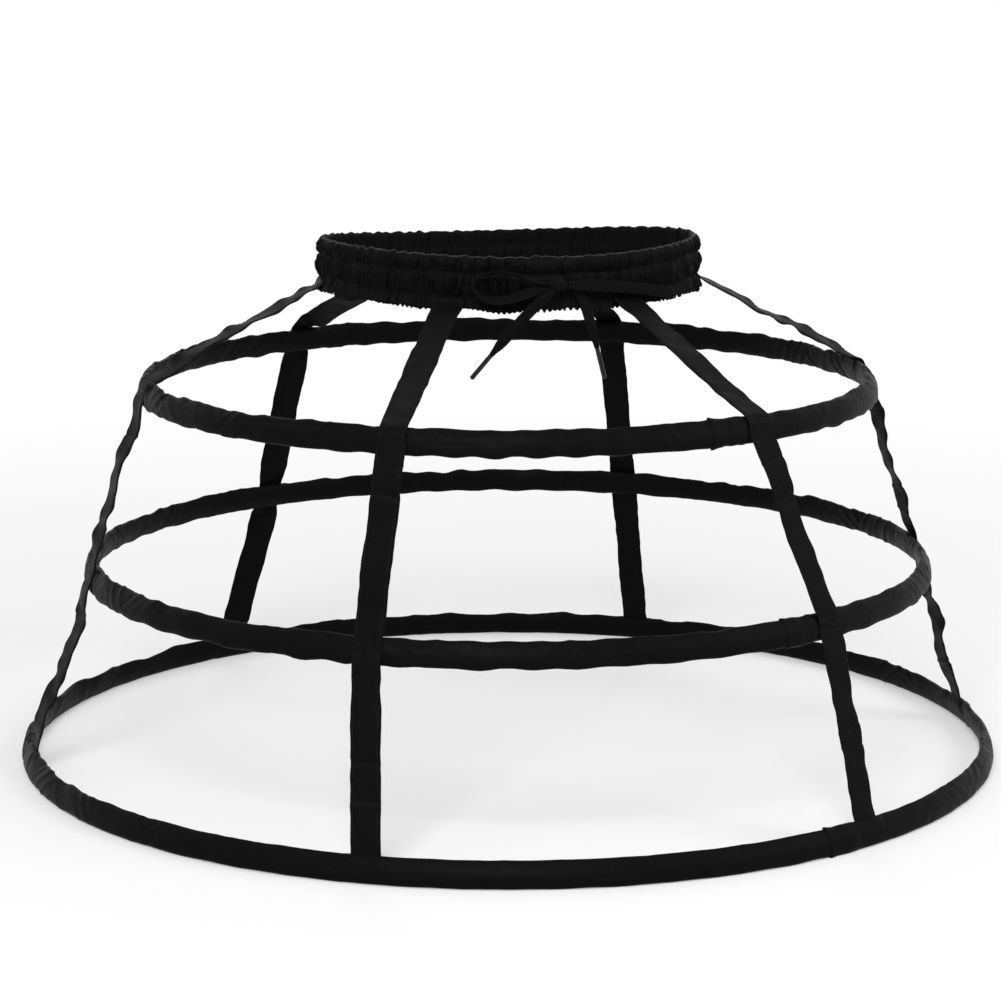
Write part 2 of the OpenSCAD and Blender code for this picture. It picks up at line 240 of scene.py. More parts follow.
def grid_object(name: str, points: Array, ring: bool, along: Array, around: Array) -> bpy.types.Object:
    """Make a closed mesh object from a grid of points whose second direction closes on itself.

    Args:
        name: the piece's name.
        points: grid of points in millimetres, shape (along, around, 3).
        ring: whether the first direction closes too; if not, both ends get a cap.
        along: distance along the cloth at each column, and one more for a ring, in millimetres.
        around: distance round the section at each row and at its closing, in millimetres.

    Returns:
        The object, with faces outwards and a map named cloth in metres.
    """
    columns, rows = points.shape[:2]
    index = np.arange(columns * rows).reshape(columns, rows)
    i, j = np.meshgrid(np.arange(columns if ring else columns - 1), np.arange(rows), indexing="ij")
    i, j = i.ravel(), j.ravel()
    corner_i, corner_j = np.stack([i, i + 1, i + 1, i], 1), np.stack([j, j, j + 1, j + 1], 1)
    quads = index[corner_i % columns, corner_j % rows]
    maps = np.stack([along[corner_i], around[corner_j]], 2)
    flat = points.reshape(-1, 3)
    a, b, c, d = (flat[quads[:, n]] - flat.mean(0) for n in range(4))
    inside_out = (np.cross(a, b) * c).sum() + (np.cross(a, c) * d).sum() < 0
    if inside_out:
        quads, maps = quads[:, ::-1], maps[:, ::-1]
    loops, starts, totals = quads.ravel(), np.arange(len(quads)) * 4, np.full(len(quads), 4)
    maps = maps.reshape(-1, 2)
    if not ring:
        caps = [index[0][::-1], index[-1]] if inside_out else [index[0], index[-1][::-1]]
        starts = np.concatenate([starts, [len(loops), len(loops) + rows]])
        totals = np.concatenate([totals, [rows, rows]])
        loops = np.concatenate([loops, *caps])
        maps = np.concatenate([maps, np.zeros((2 * rows, 2))])
    mesh = bpy.data.meshes.new(name)
    mesh.vertices.add(len(flat))
    mesh.vertices.foreach_set("co", (flat * MM).ravel().astype(np.float32))
    mesh.loops.add(len(loops))
    mesh.loops.foreach_set("vertex_index", loops.astype(np.int32))
    mesh.polygons.add(len(starts))
    mesh.polygons.foreach_set("loop_start", starts.astype(np.int32))
    mesh.polygons.foreach_set("loop_total", totals.astype(np.int32))
    mesh.polygons.foreach_set("use_smooth", np.ones(len(starts), bool))
    mesh.uv_layers.new(name="cloth").data.foreach_set("uv", (maps * MM).ravel().astype(np.float32))
    mesh.update(calc_edges=True)
    mesh.validate()
    return link_mesh(name, mesh)


def stitch_object(name: str, starts: Array, ends: Array, outward: Array, thread: float) -> bpy.types.Object:
    """Make a row of sewing stitches, each a short rod of thread that dips into the cloth at its ends.

    Each stitch is three square rings: small and sunk at both ends, full and proud in the middle.

    Args:
        name: the piece's name.
        starts: one end of each stitch, in millimetres.
        ends: the other ends.
        outward: unit vectors away from the cloth.
        thread: thickness of the thread.

    Returns:
        The object.
    """
    start, end, out = (values[:, None, None, :] for values in (starts, ends, outward))
    side = np.cross(unit(ends - starts), outward)[:, None, None, :]
    share = np.array([0.0, 0.5, 1.0])[None, :, None, None]
    lift = np.array([-0.15, 0.3, -0.15])[None, :, None, None] * thread
    size = np.array([0.35, 0.55, 0.35])[None, :, None, None] * thread
    turn = np.arange(4) * np.pi / 2
    cos, sin = np.cos(turn)[None, None, :, None], np.sin(turn)[None, None, :, None]
    points = start * (1 - share) + end * share + out * lift + size * (cos * side + sin * out)
    here = np.arange(4)
    after = (here + 1) % 4
    walls = [np.stack([r + here, r + after, r + 4 + after, r + 4 + here], 1) for r in (0, 4)]
    quads = np.concatenate(walls + [np.array([[3, 2, 1, 0], [8, 9, 10, 11]])])
    first = points[0].reshape(-1, 3)
    a, b, c = (first[quads[:8, n]] - first.mean(0) for n in range(3))
    if (np.cross(a, b) * c).sum() < 0:
        quads = quads[:, ::-1]
    faces = (np.arange(len(starts))[:, None, None] * 12 + quads[None]).reshape(-1, 4)
    mesh = bpy.data.meshes.new(name)
    mesh.from_pydata((points.reshape(-1, 3) * MM).tolist(), [], faces.tolist())
    mesh.polygons.foreach_set("use_smooth", np.ones(len(faces), bool))
    mesh.update()
    return link_mesh(name, mesh)


def finish_piece(piece: bpy.types.Object, material: bpy.types.Material,
                 nodes: tuple[str, ...] = ()) -> None:
    """Give a piece its finish, its body and the nodes it stands for.

    Args:
        piece: the new piece.
        material: its finish.
        nodes: names of the CAD nodes that it replaces.
    """
    piece.data.materials.append(material)
    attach(piece, "root")
    if nodes:
        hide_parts(*nodes)
    LOG.info("%s: %d vertices, %d faces", piece.name, len(piece.data.vertices), len(piece.data.polygons))


@dataclass(frozen=True)
class WovenSatin:
    """Black polyester satin, woven with long floats: near black, with a soft sheen where it faces the light."""

    name: str = "black_polyester_satin"
    dark: str = "#090808"
    light: str = "#121011"
    # Real threads are about 0.15 mm apart; they are drawn coarser, so that they show in the render.
    thread_mm: float = 0.8
    floats: float = 2.5
    slub_mm: float = 11.0
    roughness: tuple[float, float] = (0.36, 0.54)
    specular: float = 0.031

    def material(self) -> bpy.types.Material:
        """Make the material: crossed thread waves as bump, mottled colour and roughness, soft crumples.

        Returns:
            The material.
        """
        material, tree = new_material(self.name)
        cloth = add_node(tree, "ShaderNodeUVMap", uv_map="cloth").outputs["UV"]
        scale = wave_scale(self.thread_mm)
        warp = add_node(tree, "ShaderNodeTexWave",
                        {"Vector": cloth, "Scale": scale, "Distortion": 0.6, "Detail": 1.0},
                        bands_direction="Y")
        weft = add_node(tree, "ShaderNodeTexWave",
                        {"Vector": cloth, "Scale": scale / self.floats, "Distortion": 0.8, "Detail": 1.0},
                        bands_direction="X")
        weave = add_node(tree, "ShaderNodeMath", {0: warp.outputs["Fac"], 1: weft.outputs["Fac"]},
                         operation="ADD")
        slub = add_node(tree, "ShaderNodeTexNoise",
                        {"Vector": cloth, "Scale": noise_scale(self.slub_mm), "Detail": 4.0, "Roughness": 0.6})
        gloss = add_node(tree, "ShaderNodeMapRange",
                         {"Value": slub.outputs["Fac"], "From Min": 0.3, "From Max": 0.7,
                          "To Min": self.roughness[0], "To Max": self.roughness[1]})
        crumple = add_node(tree, "ShaderNodeBump",
                           {"Height": slub.outputs["Fac"], "Strength": 0.6, "Distance": 0.0012})
        bump = add_node(tree, "ShaderNodeBump",
                        {"Height": weave.outputs[0], "Strength": 0.22, "Distance": 0.00012,
                         "Normal": crumple.outputs["Normal"]})
        close_material(tree, slub.outputs["Fac"], self.dark, self.light,
                       {"Roughness": gloss.outputs["Result"], "Specular IOR Level": self.specular,
                        "Sheen Weight": 0.01, "Sheen Roughness": 0.4, "Normal": bump.outputs["Normal"]})
        return material


@dataclass(frozen=True)
class RibbedLace:
    """Black flat-woven lace: matt, with cross ribs that catch a little light on their tops, where a painted
    highlight also lightens the colour.
    """

    name: str = "black_ribbed_lace"
    dark: str = "#070606"
    light: str = "#181616"
    rib_mm: float = 1.6
    fibre_mm: float = 0.7

    def material(self) -> bpy.types.Material:
        """Make the material: ribs across the length, fuzzed by fibres; the colour is lighter on the rib tops, a
        painted highlight, and varies at random with the fibres.

        Returns:
            The material.
        """
        material, tree = new_material(self.name)
        cloth = add_node(tree, "ShaderNodeUVMap", uv_map="cloth").outputs["UV"]
        ribs = add_node(tree, "ShaderNodeTexWave",
                        {"Vector": cloth, "Scale": wave_scale(self.rib_mm), "Distortion": 0.5, "Detail": 1.0},
                        bands_direction="X")
        fibre = add_node(tree, "ShaderNodeTexNoise",
                         {"Vector": cloth, "Scale": noise_scale(self.fibre_mm), "Detail": 2.0})
        height = add_node(tree, "ShaderNodeMath", {0: ribs.outputs["Fac"], 1: fibre.outputs["Fac"]},
                          operation="ADD")
        # The colour share follows the rib height: the rib tops get a painted highlight, and the fibre noise
        # adds random tone.
        share = add_node(tree, "ShaderNodeMath", {0: height.outputs[0], 1: 0.5}, operation="MULTIPLY")
        bump = add_node(tree, "ShaderNodeBump",
                        {"Height": height.outputs[0], "Strength": 0.5, "Distance": 0.0002})
        close_material(tree, share.outputs[0], self.dark, self.light,
                       {"Roughness": 0.75, "Specular IOR Level": 0.03, "Sheen Weight": 0.01,
                        "Sheen Roughness": 0.5, "Normal": bump.outputs["Normal"]})
        return material


@dataclass(frozen=True)
class ShrunkFilm:
    """Black acetate film shrunk round the lace: smooth and glossy, with a bright line of light along it."""

    name: str = "black_acetate_film"
    dark: str = "#0d0c0c"
    light: str = "#151414"
    crease_mm: float = 2.0

    def material(self) -> bpy.types.Material:
        """Make the material: shallow creases under a clear gloss.

        Returns:
            The material.
        """
        material, tree = new_material(self.name)
        place = add_node(tree, "ShaderNodeTexCoord").outputs["Object"]
        crease = add_node(tree, "ShaderNodeTexNoise",
                          {"Vector": place, "Scale": noise_scale(self.crease_mm), "Detail": 2.0})
        bump = add_node(tree, "ShaderNodeBump",
                        {"Height": crease.outputs["Fac"], "Strength": 0.2, "Distance": 0.0003})
        close_material(tree, crease.outputs["Fac"], self.dark, self.light,
                       {"Roughness": 0.3, "Specular IOR Level": 0.2, "Coat Weight": 0.25,
                        "Coat Roughness": 0.1, "Normal": bump.outputs["Normal"]})
        return material


@dataclass(frozen=True)
class PlainPlastic:
    """Extruded or moulded plastic in its natural colour: pale, waxy and slightly cloudy."""

    name: str
    dark: str
    light: str
    streak_mm: float
    roughness: float

    def material(self) -> bpy.types.Material:
        """Make the material: faint cloudy streaks in the colour and a fine bump.

        Returns:
            The material.
        """
        material, tree = new_material(self.name)
        place = add_node(tree, "ShaderNodeTexCoord").outputs["Object"]
        cloud = add_node(tree, "ShaderNodeTexNoise",
                         {"Vector": place, "Scale": noise_scale(self.streak_mm), "Detail": 3.0})
        bump = add_node(tree, "ShaderNodeBump",
                        {"Height": cloud.outputs["Fac"], "Strength": 0.1, "Distance": 0.0003})
        close_material(tree, cloud.outputs["Fac"], self.dark, self.light,
                       {"Roughness": self.roughness, "Normal": bump.outputs["Normal"]})
        return material


@dataclass(frozen=True)
class BraidedElastic:
    """White braided elastic: pale, matt, with ridges that run along it."""

    name: str = "white_braided_elastic"
    dark: str = "#cfcbc0"
    light: str = "#efece4"
    ridge_mm: float = 1.5

    def material(self) -> bpy.types.Material:
        """Make the material: ridges stacked up the band, with painted shade in the grooves between them and the
        ridge tops lighter.

        Returns:
            The material.
        """
        material, tree = new_material(self.name)
        cloth = add_node(tree, "ShaderNodeUVMap", uv_map="cloth").outputs["UV"]
        ridge = add_node(tree, "ShaderNodeTexWave",
                         {"Vector": cloth, "Scale": wave_scale(self.ridge_mm), "Distortion": 0.4},
                         bands_direction="Y")
        bump = add_node(tree, "ShaderNodeBump",
                        {"Height": ridge.outputs["Fac"], "Strength": 0.4, "Distance": 0.0003})
        # The colour follows the ridge height: painted shade darkens the grooves, and the ridge tops are
        # lighter.
        close_material(tree, ridge.outputs["Fac"], self.dark, self.light,
                       {"Roughness": 0.8, "Normal": bump.outputs["Normal"]})
        return material


@dataclass(frozen=True)
class SewingThread:
    """Black spun polyester thread: a little lighter than the satin, because its twist scatters light."""

    name: str = "black_sewing_thread"
    dark: str = "#121011"
    light: str = "#252222"
    twist_mm: float = 0.5

    def material(self) -> bpy.types.Material:
        """Make the material: a fine twist in the colour; the stitches' own shape gives the relief.

        Returns:
            The material.
        """
        material, tree = new_material(self.name)
        place = add_node(tree, "ShaderNodeTexCoord").outputs["Object"]
        twist = add_node(tree, "ShaderNodeTexNoise",
                         {"Vector": place, "Scale": noise_scale(self.twist_mm), "Detail": 1.0})
        close_material(tree, twist.outputs["Fac"], self.dark, self.light,
                       {"Roughness": 0.6, "Specular IOR Level": 0.08})
        return material


@dataclass
class Finishes:
    """The finishes, each made once."""

    satin: bpy.types.Material = field(default_factory=lambda: WovenSatin().material())
    lace: bpy.types.Material = field(default_factory=lambda: RibbedLace().material())
    film: bpy.types.Material = field(default_factory=lambda: ShrunkFilm().material())
    thread: bpy.types.Material = field(default_factory=lambda: SewingThread().material())
    elastic: bpy.types.Material = field(default_factory=lambda: BraidedElastic().material())
    tube: bpy.types.Material = field(default_factory=lambda: PlainPlastic(
        "natural_polyethylene_tube", "#d3cfc2", "#dedacd", 9.0, 0.45).material())
    plug: bpy.types.Material = field(default_factory=lambda: PlainPlastic(
        "moulded_nylon_plug", "#c9c5b8", "#d8d4c8", 5.0, 0.4).material())


@dataclass
class Studio:
    """The floor, the light and the camera at the photograph's viewing angle. Lengths are in metres."""

    camera_at: tuple[float, float, float] = (-0.5294, -2.4626, 0.6909)
    look_down: float = 11.12
    azimuth: float = -12.0
    lens_mm: float = 118.15
    sensor_mm: float = 36.0
    # Each softbox: its name, its place and its power in watts.
    softboxes: tuple[tuple[str, tuple[float, float, float], float], ...] = (
        ("key_softbox", (-1.1, -2.9, 2.7), 80.0),
        ("fill_softbox", (2.6, -1.6, 2.0), 30.0),
        ("back_softbox", (0.4, 2.6, 2.4), 12.0))
    softbox_side: float = 1.6
    aim_height: float = 0.2
    world_level: float = 0.4
    floor_half: float = 30.0
    floor_lift: float = 0.28
    floor_fade: tuple[float, float] = (0.6, 1.6)
    paper: str = "#e6e6e6"
    white: str = "#ffffff"

    def build(self) -> None:
        """Make the camera, the world, the lamps and the floor."""
        scene = bpy.context.scene
        scene.view_settings.view_transform = "Standard"
        lens = bpy.data.cameras.new("photo_camera")
        lens.sensor_width, lens.sensor_fit, lens.lens = self.sensor_mm, "HORIZONTAL", self.lens_mm
        lens.clip_end = 200.0
        camera = bpy.data.objects.new("photo_camera", lens)
        camera.location = self.camera_at
        camera.rotation_euler = (math.radians(90 - self.look_down), 0, math.radians(self.azimuth))
        scene.collection.objects.link(camera)
        scene.camera = camera
        self._world()
        for name, at, watts in self.softboxes:
            self._lamp(name, at, watts)
        self._floor()

    def _seen(self, tree: bpy.types.NodeTree) -> bpy.types.NodeSocket:
        """Tell rays that show the surroundings, to the camera, in gloss or through glass, from others.

        Args:
            tree: the node tree that asks.

        Returns:
            Output that is 1 for such a ray and 0 for one that only lights.
        """
        path = add_node(tree, "ShaderNodeLightPath")
        either = add_node(tree, "ShaderNodeMath",
                          {0: path.outputs["Is Camera Ray"], 1: path.outputs["Is Glossy Ray"]},
                          operation="MAXIMUM")
        return add_node(tree, "ShaderNodeMath",
                        {0: either.outputs[0], 1: path.outputs["Is Transmission Ray"]},
                        operation="MAXIMUM").outputs[0]

    def _world(self) -> None:
        """Fill the surroundings with even white light, and show them white."""
        world = bpy.data.worlds.new("white_studio")
        world.use_nodes = True
        tree = world.node_tree
        tree.nodes.clear()
        white = linear(self.white)
        light = add_node(tree, "ShaderNodeBackground", {"Color": white, "Strength": self.world_level})
        shown = add_node(tree, "ShaderNodeBackground", {"Color": white, "Strength": 1.0})
        both = add_node(tree, "ShaderNodeMixShader",
                        {0: self._seen(tree), 1: light.outputs[0], 2: shown.outputs[0]})
        add_node(tree, "ShaderNodeOutputWorld", {"Surface": both.outputs[0]})
        bpy.context.scene.world = world

    def _lamp(self, name: str, at: tuple[float, float, float], watts: float) -> None:
        """Hang a square softbox that faces the middle of the cage.

        Args:
            name: the lamp's name.
            at: its place in metres.
            watts: its power.
        """
        lamp = bpy.data.lights.new(name, "AREA")
        lamp.shape, lamp.size, lamp.energy = "SQUARE", self.softbox_side, watts
        holder = bpy.data.objects.new(name, lamp)
        x, y, z = at[0], at[1], at[2] - self.aim_height
        holder.location = at
        holder.rotation_euler = (math.atan2(math.hypot(x, y), z), 0, math.atan2(y, x) + math.pi / 2)
        bpy.context.scene.collection.objects.link(holder)

    def _floor(self) -> None:
        """Lay a pale floor that keeps the cage's shadow and fades to plain white away from it."""
        half = self.floor_half
        mesh = bpy.data.meshes.new("floor")
        corners = [(-half, -half, 0), (half, -half, 0), (half, half, 0), (-half, half, 0)]
        mesh.from_pydata(corners, [], [(0, 1, 2, 3)])
        floor = link_mesh("floor", mesh)
        material, tree = new_material("white_paper_sweep")
        paper = add_node(tree, "ShaderNodeBsdfDiffuse", {"Color": linear(self.paper)})
        lift = add_node(tree, "ShaderNodeEmission",
                        {"Color": linear(self.white), "Strength": self.floor_lift})
        near = add_node(tree, "ShaderNodeAddShader", {0: paper.outputs[0], 1: lift.outputs[0]})
        place = add_node(tree, "ShaderNodeTexCoord").outputs["Object"]
        apart = add_node(tree, "ShaderNodeVectorMath", {0: place}, operation="LENGTH").outputs["Value"]
        away = add_node(tree, "ShaderNodeMapRange",
                        {"Value": apart, "From Min": self.floor_fade[0], "From Max": self.floor_fade[1]})
        white = add_node(tree, "ShaderNodeEmission", {"Color": linear(self.white), "Strength": 1.0})
        shown = add_node(tree, "ShaderNodeMixShader",
                         {0: away.outputs["Result"], 1: near.outputs[0], 2: white.outputs[0]})
        both = add_node(tree, "ShaderNodeMixShader",
                        {0: self._seen(tree), 1: paper.outputs[0], 2: shown.outputs[0]})
        add_node(tree, "ShaderNodeOutputMaterial", {"Surface": both.outputs[0]})
        mesh.materials.append(material)


# The lace's points: x, y and z, then its roll in degrees and its width.
LEFT_LOOP = np.array([
    [-4.4, -154.6, 385.5, 10, 8], [-7.4, -154.7, 385.7, 10, 8], [-11.1, -154.6, 386.4, 10, 8],
    [-17.6, -154, 388.6, 12, 8], [-25.5, -152.9, 391.8, 15, 8], [-32.6, -151.3, 393.7, 18, 8],
    [-38.8, -149.3, 394.3, 20, 8], [-45, -147.1, 393.8, 15, 8], [-50.8, -144.7, 391.8, 8, 8],
    [-54.9, -143, 388.4, 0, 8], [-56.3, -142.5, 384.8, 0, 8], [-55.6, -142.8, 380.8, 0, 8],
    [-52.5, -144.1, 377, 12, 8], [-47.8, -146.3, 374.7, 28, 8], [-42.3, -148.5, 373.8, 42, 8],
    [-36.8, -150.4, 374.1, 48, 8], [-29.8, -152.1, 375.5, 52, 8], [-21.2, -153.7, 378.2, 58, 8],
    [-14, -154.4, 380.6, 62, 8], [-8.8, -154.5, 382.1, 65, 8], [-4.4, -154.6, 383.2, 68, 8]])
RIGHT_LOOP = np.array([
    [12.1, -155, 384.5, 90, 8], [17.2, -154.6, 384.2, 90, 8], [25, -153.4, 383.5, 90, 8],
    [37.8, -149.9, 382.2, 90, 8], [51, -145.3, 380.6, 90, 8], [64.5, -139.6, 378.6, 90, 8],
    [76.8, -133.3, 376.5, 90, 8], [87.8, -126.3, 374.2, 90, 8], [95.5, -120.3, 372.4, 90, 8],
    [97.2, -118, 372.2, 90, 8], [96.8, -116.6, 372.2, 90, 8], [94.8, -116.9, 372.4, 90, 8],
    [91.1, -119.6, 373.5, 90, 8], [79.9, -127.3, 376.1, 90, 8], [67.4, -134.5, 378.5, 90, 8],
    [53.6, -140.7, 380.7, 90, 8], [40.3, -145.7, 382.4, 90, 8], [27.4, -149.5, 383.7, 90, 8],
    [18.8, -151.1, 384.2, 90, 8], [12.9, -151.9, 384.5, 90, 8]])
LEFT_TAIL = np.array([
    [-0.5, -158.8, 381.5, 90, 8], [-6.1, -158.9, 376.7, 90, 8], [-12.6, -158.4, 371, 90, 8],
    [-19.7, -157, 363.9, 90, 8], [-26.7, -155.1, 355.9, 90, 8], [-32.9, -152.9, 348.5, 90, 8],
    [-37.3, -151, 342.8, 90, 7.5], [-40, -149.5, 339.2, 90, 6], [-42, -148.5, 336.6, 90, 4.5],
    [-44, -147.4, 333.9, 90, 3.6]])
RIGHT_TAIL = np.array([
    [12.5, -149.5, 383.5, 90, 8], [17.6, -148.4, 381.5, 90, 8], [21.1, -147.8, 378.2, 90, 8],
    [23.8, -147.6, 373.7, 90, 8], [25.6, -148, 368.9, 90, 8], [27, -148.4, 364.2, 90, 8],
    [28.5, -148.5, 359.4, 90, 8], [30.1, -148.5, 354.2, 90, 8], [31.6, -148.4, 348.9, 90, 7.5],
    [33.1, -148.2, 344.1, 90, 6], [34, -147.9, 340.3, 90, 4.5], [34.9, -147.7, 336.9, 90, 3.6]])


@dataclass
class DrawstringBow:
    """The flat lace tied in a bow: two loops, two tails with aglets, and the knot."""

    lace_w: float = 8.0
    lace_t: float = 1.6
    rib: float = 1.6
    step: float = 0.4
    pinch: float = 0.62
    pinch_len: float = 11.0
    aglet_len: float = 24.0
    aglet_d: float = 3.6
    crimp_at: float = 3.0
    knot_at: tuple[float, float, float] = (4.0, -152.5, 384.0)
    knot_half: float = 8.4
    knot_r: float = 4.7
    knot_lean: float = 1.5
    knot_round: float = 31.0
    sides: int = 20

    def build(self, finishes: Finishes) -> None:
        """Make the knot, the loops, the tails and the aglets.

        Args:
            finishes: the finishes to dress them in.
        """
        knot = self._knot()
        finish_piece(knot, finishes.lace, ("drawstring_knot",))
        for side, route in (("left", LEFT_LOOP), ("right", RIGHT_LOOP)):
            loop, line = self._lace(f"bow_{side}_loop", route, True)
            finish_piece(loop, finishes.lace, (f"drawstring_{side}_loop",))
        for side, route in (("left", LEFT_TAIL), ("right", RIGHT_TAIL)):
            aglet = self._aglet(f"bow_{side}_aglet", route)
            finish_piece(aglet, finishes.film, (f"{side}_aglet",))
            tail, line = self._lace(f"bow_{side}_tail", route, False)
            finish_piece(tail, finishes.lace, (f"drawstring_{side}_tail",))

    def _lace(self, name: str, route: Array, both: bool) -> tuple[bpy.types.Object, Array]:
        """Carry the lace's flat section along a route.

        The section is a flattened oval whose width leans from straight out of the band (0 degrees) to flat
        on it (90 degrees). Its thickness swells and shrinks with the cross ribs, its edges are beaded, and
        it is pinched narrow and thick where it enters the knot.

        Args:
            name: the piece's name.
            route: points with roll and width.
            both: whether both ends are in the knot.

        Returns:
            The lace and its centreline.
        """
        fine = smooth_route(route, self.step)
        line, roll, width = fine[:, :3], np.radians(fine[:, 3:4]), fine[:, 4:5]
        run = unit(np.gradient(line, axis=0))
        out = unit(line * [1, 1, 0])
        out = unit(out - run * (out * run).sum(1, keepdims=True))
        wide = out * np.cos(roll) + np.cross(run, out) * np.sin(roll)
        thick = np.cross(run, wide)
        along = reach_along(line)
        entry = np.minimum(along, along[-1] - along) if both else along
        width = width * (self.pinch + (1 - self.pinch) * ease(entry, 0, self.pinch_len))[:, None]
        turn = full_turn(self.sides)
        ribs = np.cos(2 * np.pi * along / self.rib)[:, None]
        across = squared(np.cos(turn), 0.7) * (width / 2 * (1 + 0.02 * ribs))
        deep = squared(np.sin(turn), 0.6) * (self.lace_w * self.lace_t / width / 2 * (0.9 + 0.2 * ribs))
        points = line[:, None] + wide[:, None] * across[..., None] + thick[:, None] * deep[..., None]
        around = np.linspace(0, 2.2 * self.lace_w, self.sides + 1)
        return grid_object(name, points, False, along, around), line

    def _knot(self) -> bpy.types.Object:
        """Make the knot: a barrel along the band with the lace wound round it.

        The radius swells from the ends to the middle as a rounded box, and the lace winds round it nearly
        twice as a screw-shaped ridge with sharp valleys.

        Returns:
            The knot.
        """
        columns, rows = 72, 64
        t = np.linspace(-1, 1, columns)[:, None]
        turn = full_turn(rows)[None]
        swell = np.clip(1 - np.abs(t) ** 2.2, 0, 1) ** (1 / 2.0)
        wind = np.abs(np.sin(np.pi * (t * 0.8 + turn / (2 * np.pi) + 0.2)))
        ribs = np.cos(turn * 20)
        r = self.knot_r * swell * (0.72 + 0.28 * wind ** 0.6) + 0.07 * ribs * swell
        r = np.maximum(r, 0.4)
        x = np.broadcast_to(self.knot_half * t, r.shape)
        y, z = r * np.cos(turn) * 0.92, r * np.sin(turn) * 1.05
        cos, sin = math.cos(math.radians(self.knot_lean)), math.sin(math.radians(self.knot_lean))
        points = np.stack([x * cos - y * sin, x * sin + y * cos, z], 2) + np.array(self.knot_at)
        return grid_object("bow_knot", points, False, self.knot_half * t.ravel(),
                           np.linspace(0, self.knot_round, rows + 1))

    def _aglet(self, name: str, route: Array) -> bpy.types.Object:
        """Make an aglet: a film sleeve that goes on in the tail's last direction.

        The radius is even, rounds over at both ends, and has a shallow crimp where it grips the lace.

        Args:
            name: the piece's name.
            route: the tail's route.

        Returns:
            The aglet.
        """
        columns, rows = 60, 24
        start = route[-1, :3]
        run = unit(start - route[-2, :3])
        side = unit(np.cross(run, [0, 0, 1.0]))
        other = np.cross(run, side)
        along = np.linspace(0, self.aglet_len, columns)[:, None]
        turn = full_turn(rows)[None]
        from_end = np.minimum(along + 0.25, self.aglet_len - along + 0.25)
        ends = np.minimum(1, np.sqrt(np.clip(from_end / 0.9, 0, 1)))
        crimp = 1 - 0.08 * bell(along, self.crimp_at, 0.8)
        r = self.aglet_d / 2 * ends * crimp * (1 + 0.03 * np.cos(2 * turn))
        across, up = (r * np.cos(turn))[..., None], (r * np.sin(turn))[..., None]
        points = start + run * along[..., None] + side * across + other * up
        return grid_object(name, points, False, along.ravel(), np.linspace(0, math.pi * self.aglet_d, rows + 1))


# Each hoop's radius and the height of its casing's middle.
HOOPS = {"top": (280.0, 290.78), "middle": (324.0, 150.78), "bottom": (375.0, 9.78)}
# How loose each casing is in front, and its puff: degrees from the front, and how far it stands out.
HOOP_CLOTH = {"top": (0.45, (78.0, 1.5)), "middle": (0.45, (-97.0, 1.5)), "bottom": (0.15, (-98.0, 3.0))}
HOOP_SEED = 100
# Each tape's angles from the front at the waistband and at the top, the middle and the bottom hoop.
TAPE_TURNS = {
    "front_left": (-29.2, -28.6, -29.3, -27.3), "front_right": (24.6, 26.8, 32.0, 30.8),
    "left": (-90.0, -88.0, -87.0, -89.0), "right": (90.0, 89.0, 88.0, 89.0),
    "back_left": (-153.0, -154.0, -153.5, -151.5), "back_right": (150.0, 150.0, 150.0, 150.0)}
# Each tape's waves out of its line, its slow twist, and its turn above and below the top hoop, in radians.
TAPE_CLOTH = {
    "front_left": (0.5, 0.03, (0.0, 0.0)), "front_right": (0.5, 0.03, (0.0, 0.0)),
    "left": (1.6, 0.13, (-0.1, -0.2)), "right": (1.6, 0.13, (0.2, -0.12)),
    "back_left": (0.5, 0.03, (0.5, 0.5)), "back_right": (0.5, 0.03, (0.0, 0.0))}
TAPE_SEED, TAPE_SEED_STEP = 500, 20
TAPE_W = 22.0
# The casings lean outwards like the cage's sides; DOWN and OUT are pairs of distance from the axis and height.
LEAN = math.radians(17)
DOWN = np.array([math.sin(LEAN), -math.cos(LEAN)])
OUT = np.array([math.cos(LEAN), math.sin(LEAN)])


def waist_tilt(turn: Array) -> Array:
    """Give the band's rise over its level place: 4 mm in front, 5 mm at the sides and 8 mm down behind."""
    return 1.5 + 6 * np.cos(turn) - 3.5 * np.cos(2 * turn)


def at_tapes(turn: Array, radius: float, spare: float, station: int) -> Array:
    """Give 1 where a tape crosses a ring and 0 away from it.

    Args:
        turn: angles round the ring in radians.
        radius: the ring's radius.
        spare: millimetres to add on each side of the tape.
        station: which of the tapes' four angles holds on this ring.

    Returns:
        The share at each angle.
    """
    degrees = np.degrees(turn)
    half = math.degrees((TAPE_W / 2 + spare) / radius)
    gaps = [np.abs((degrees - turns[station] + 180) % 360 - 180) for turns in TAPE_TURNS.values()]
    return 1 - ease(np.stack(gaps).min(0), half * 0.9, half * 1.25)


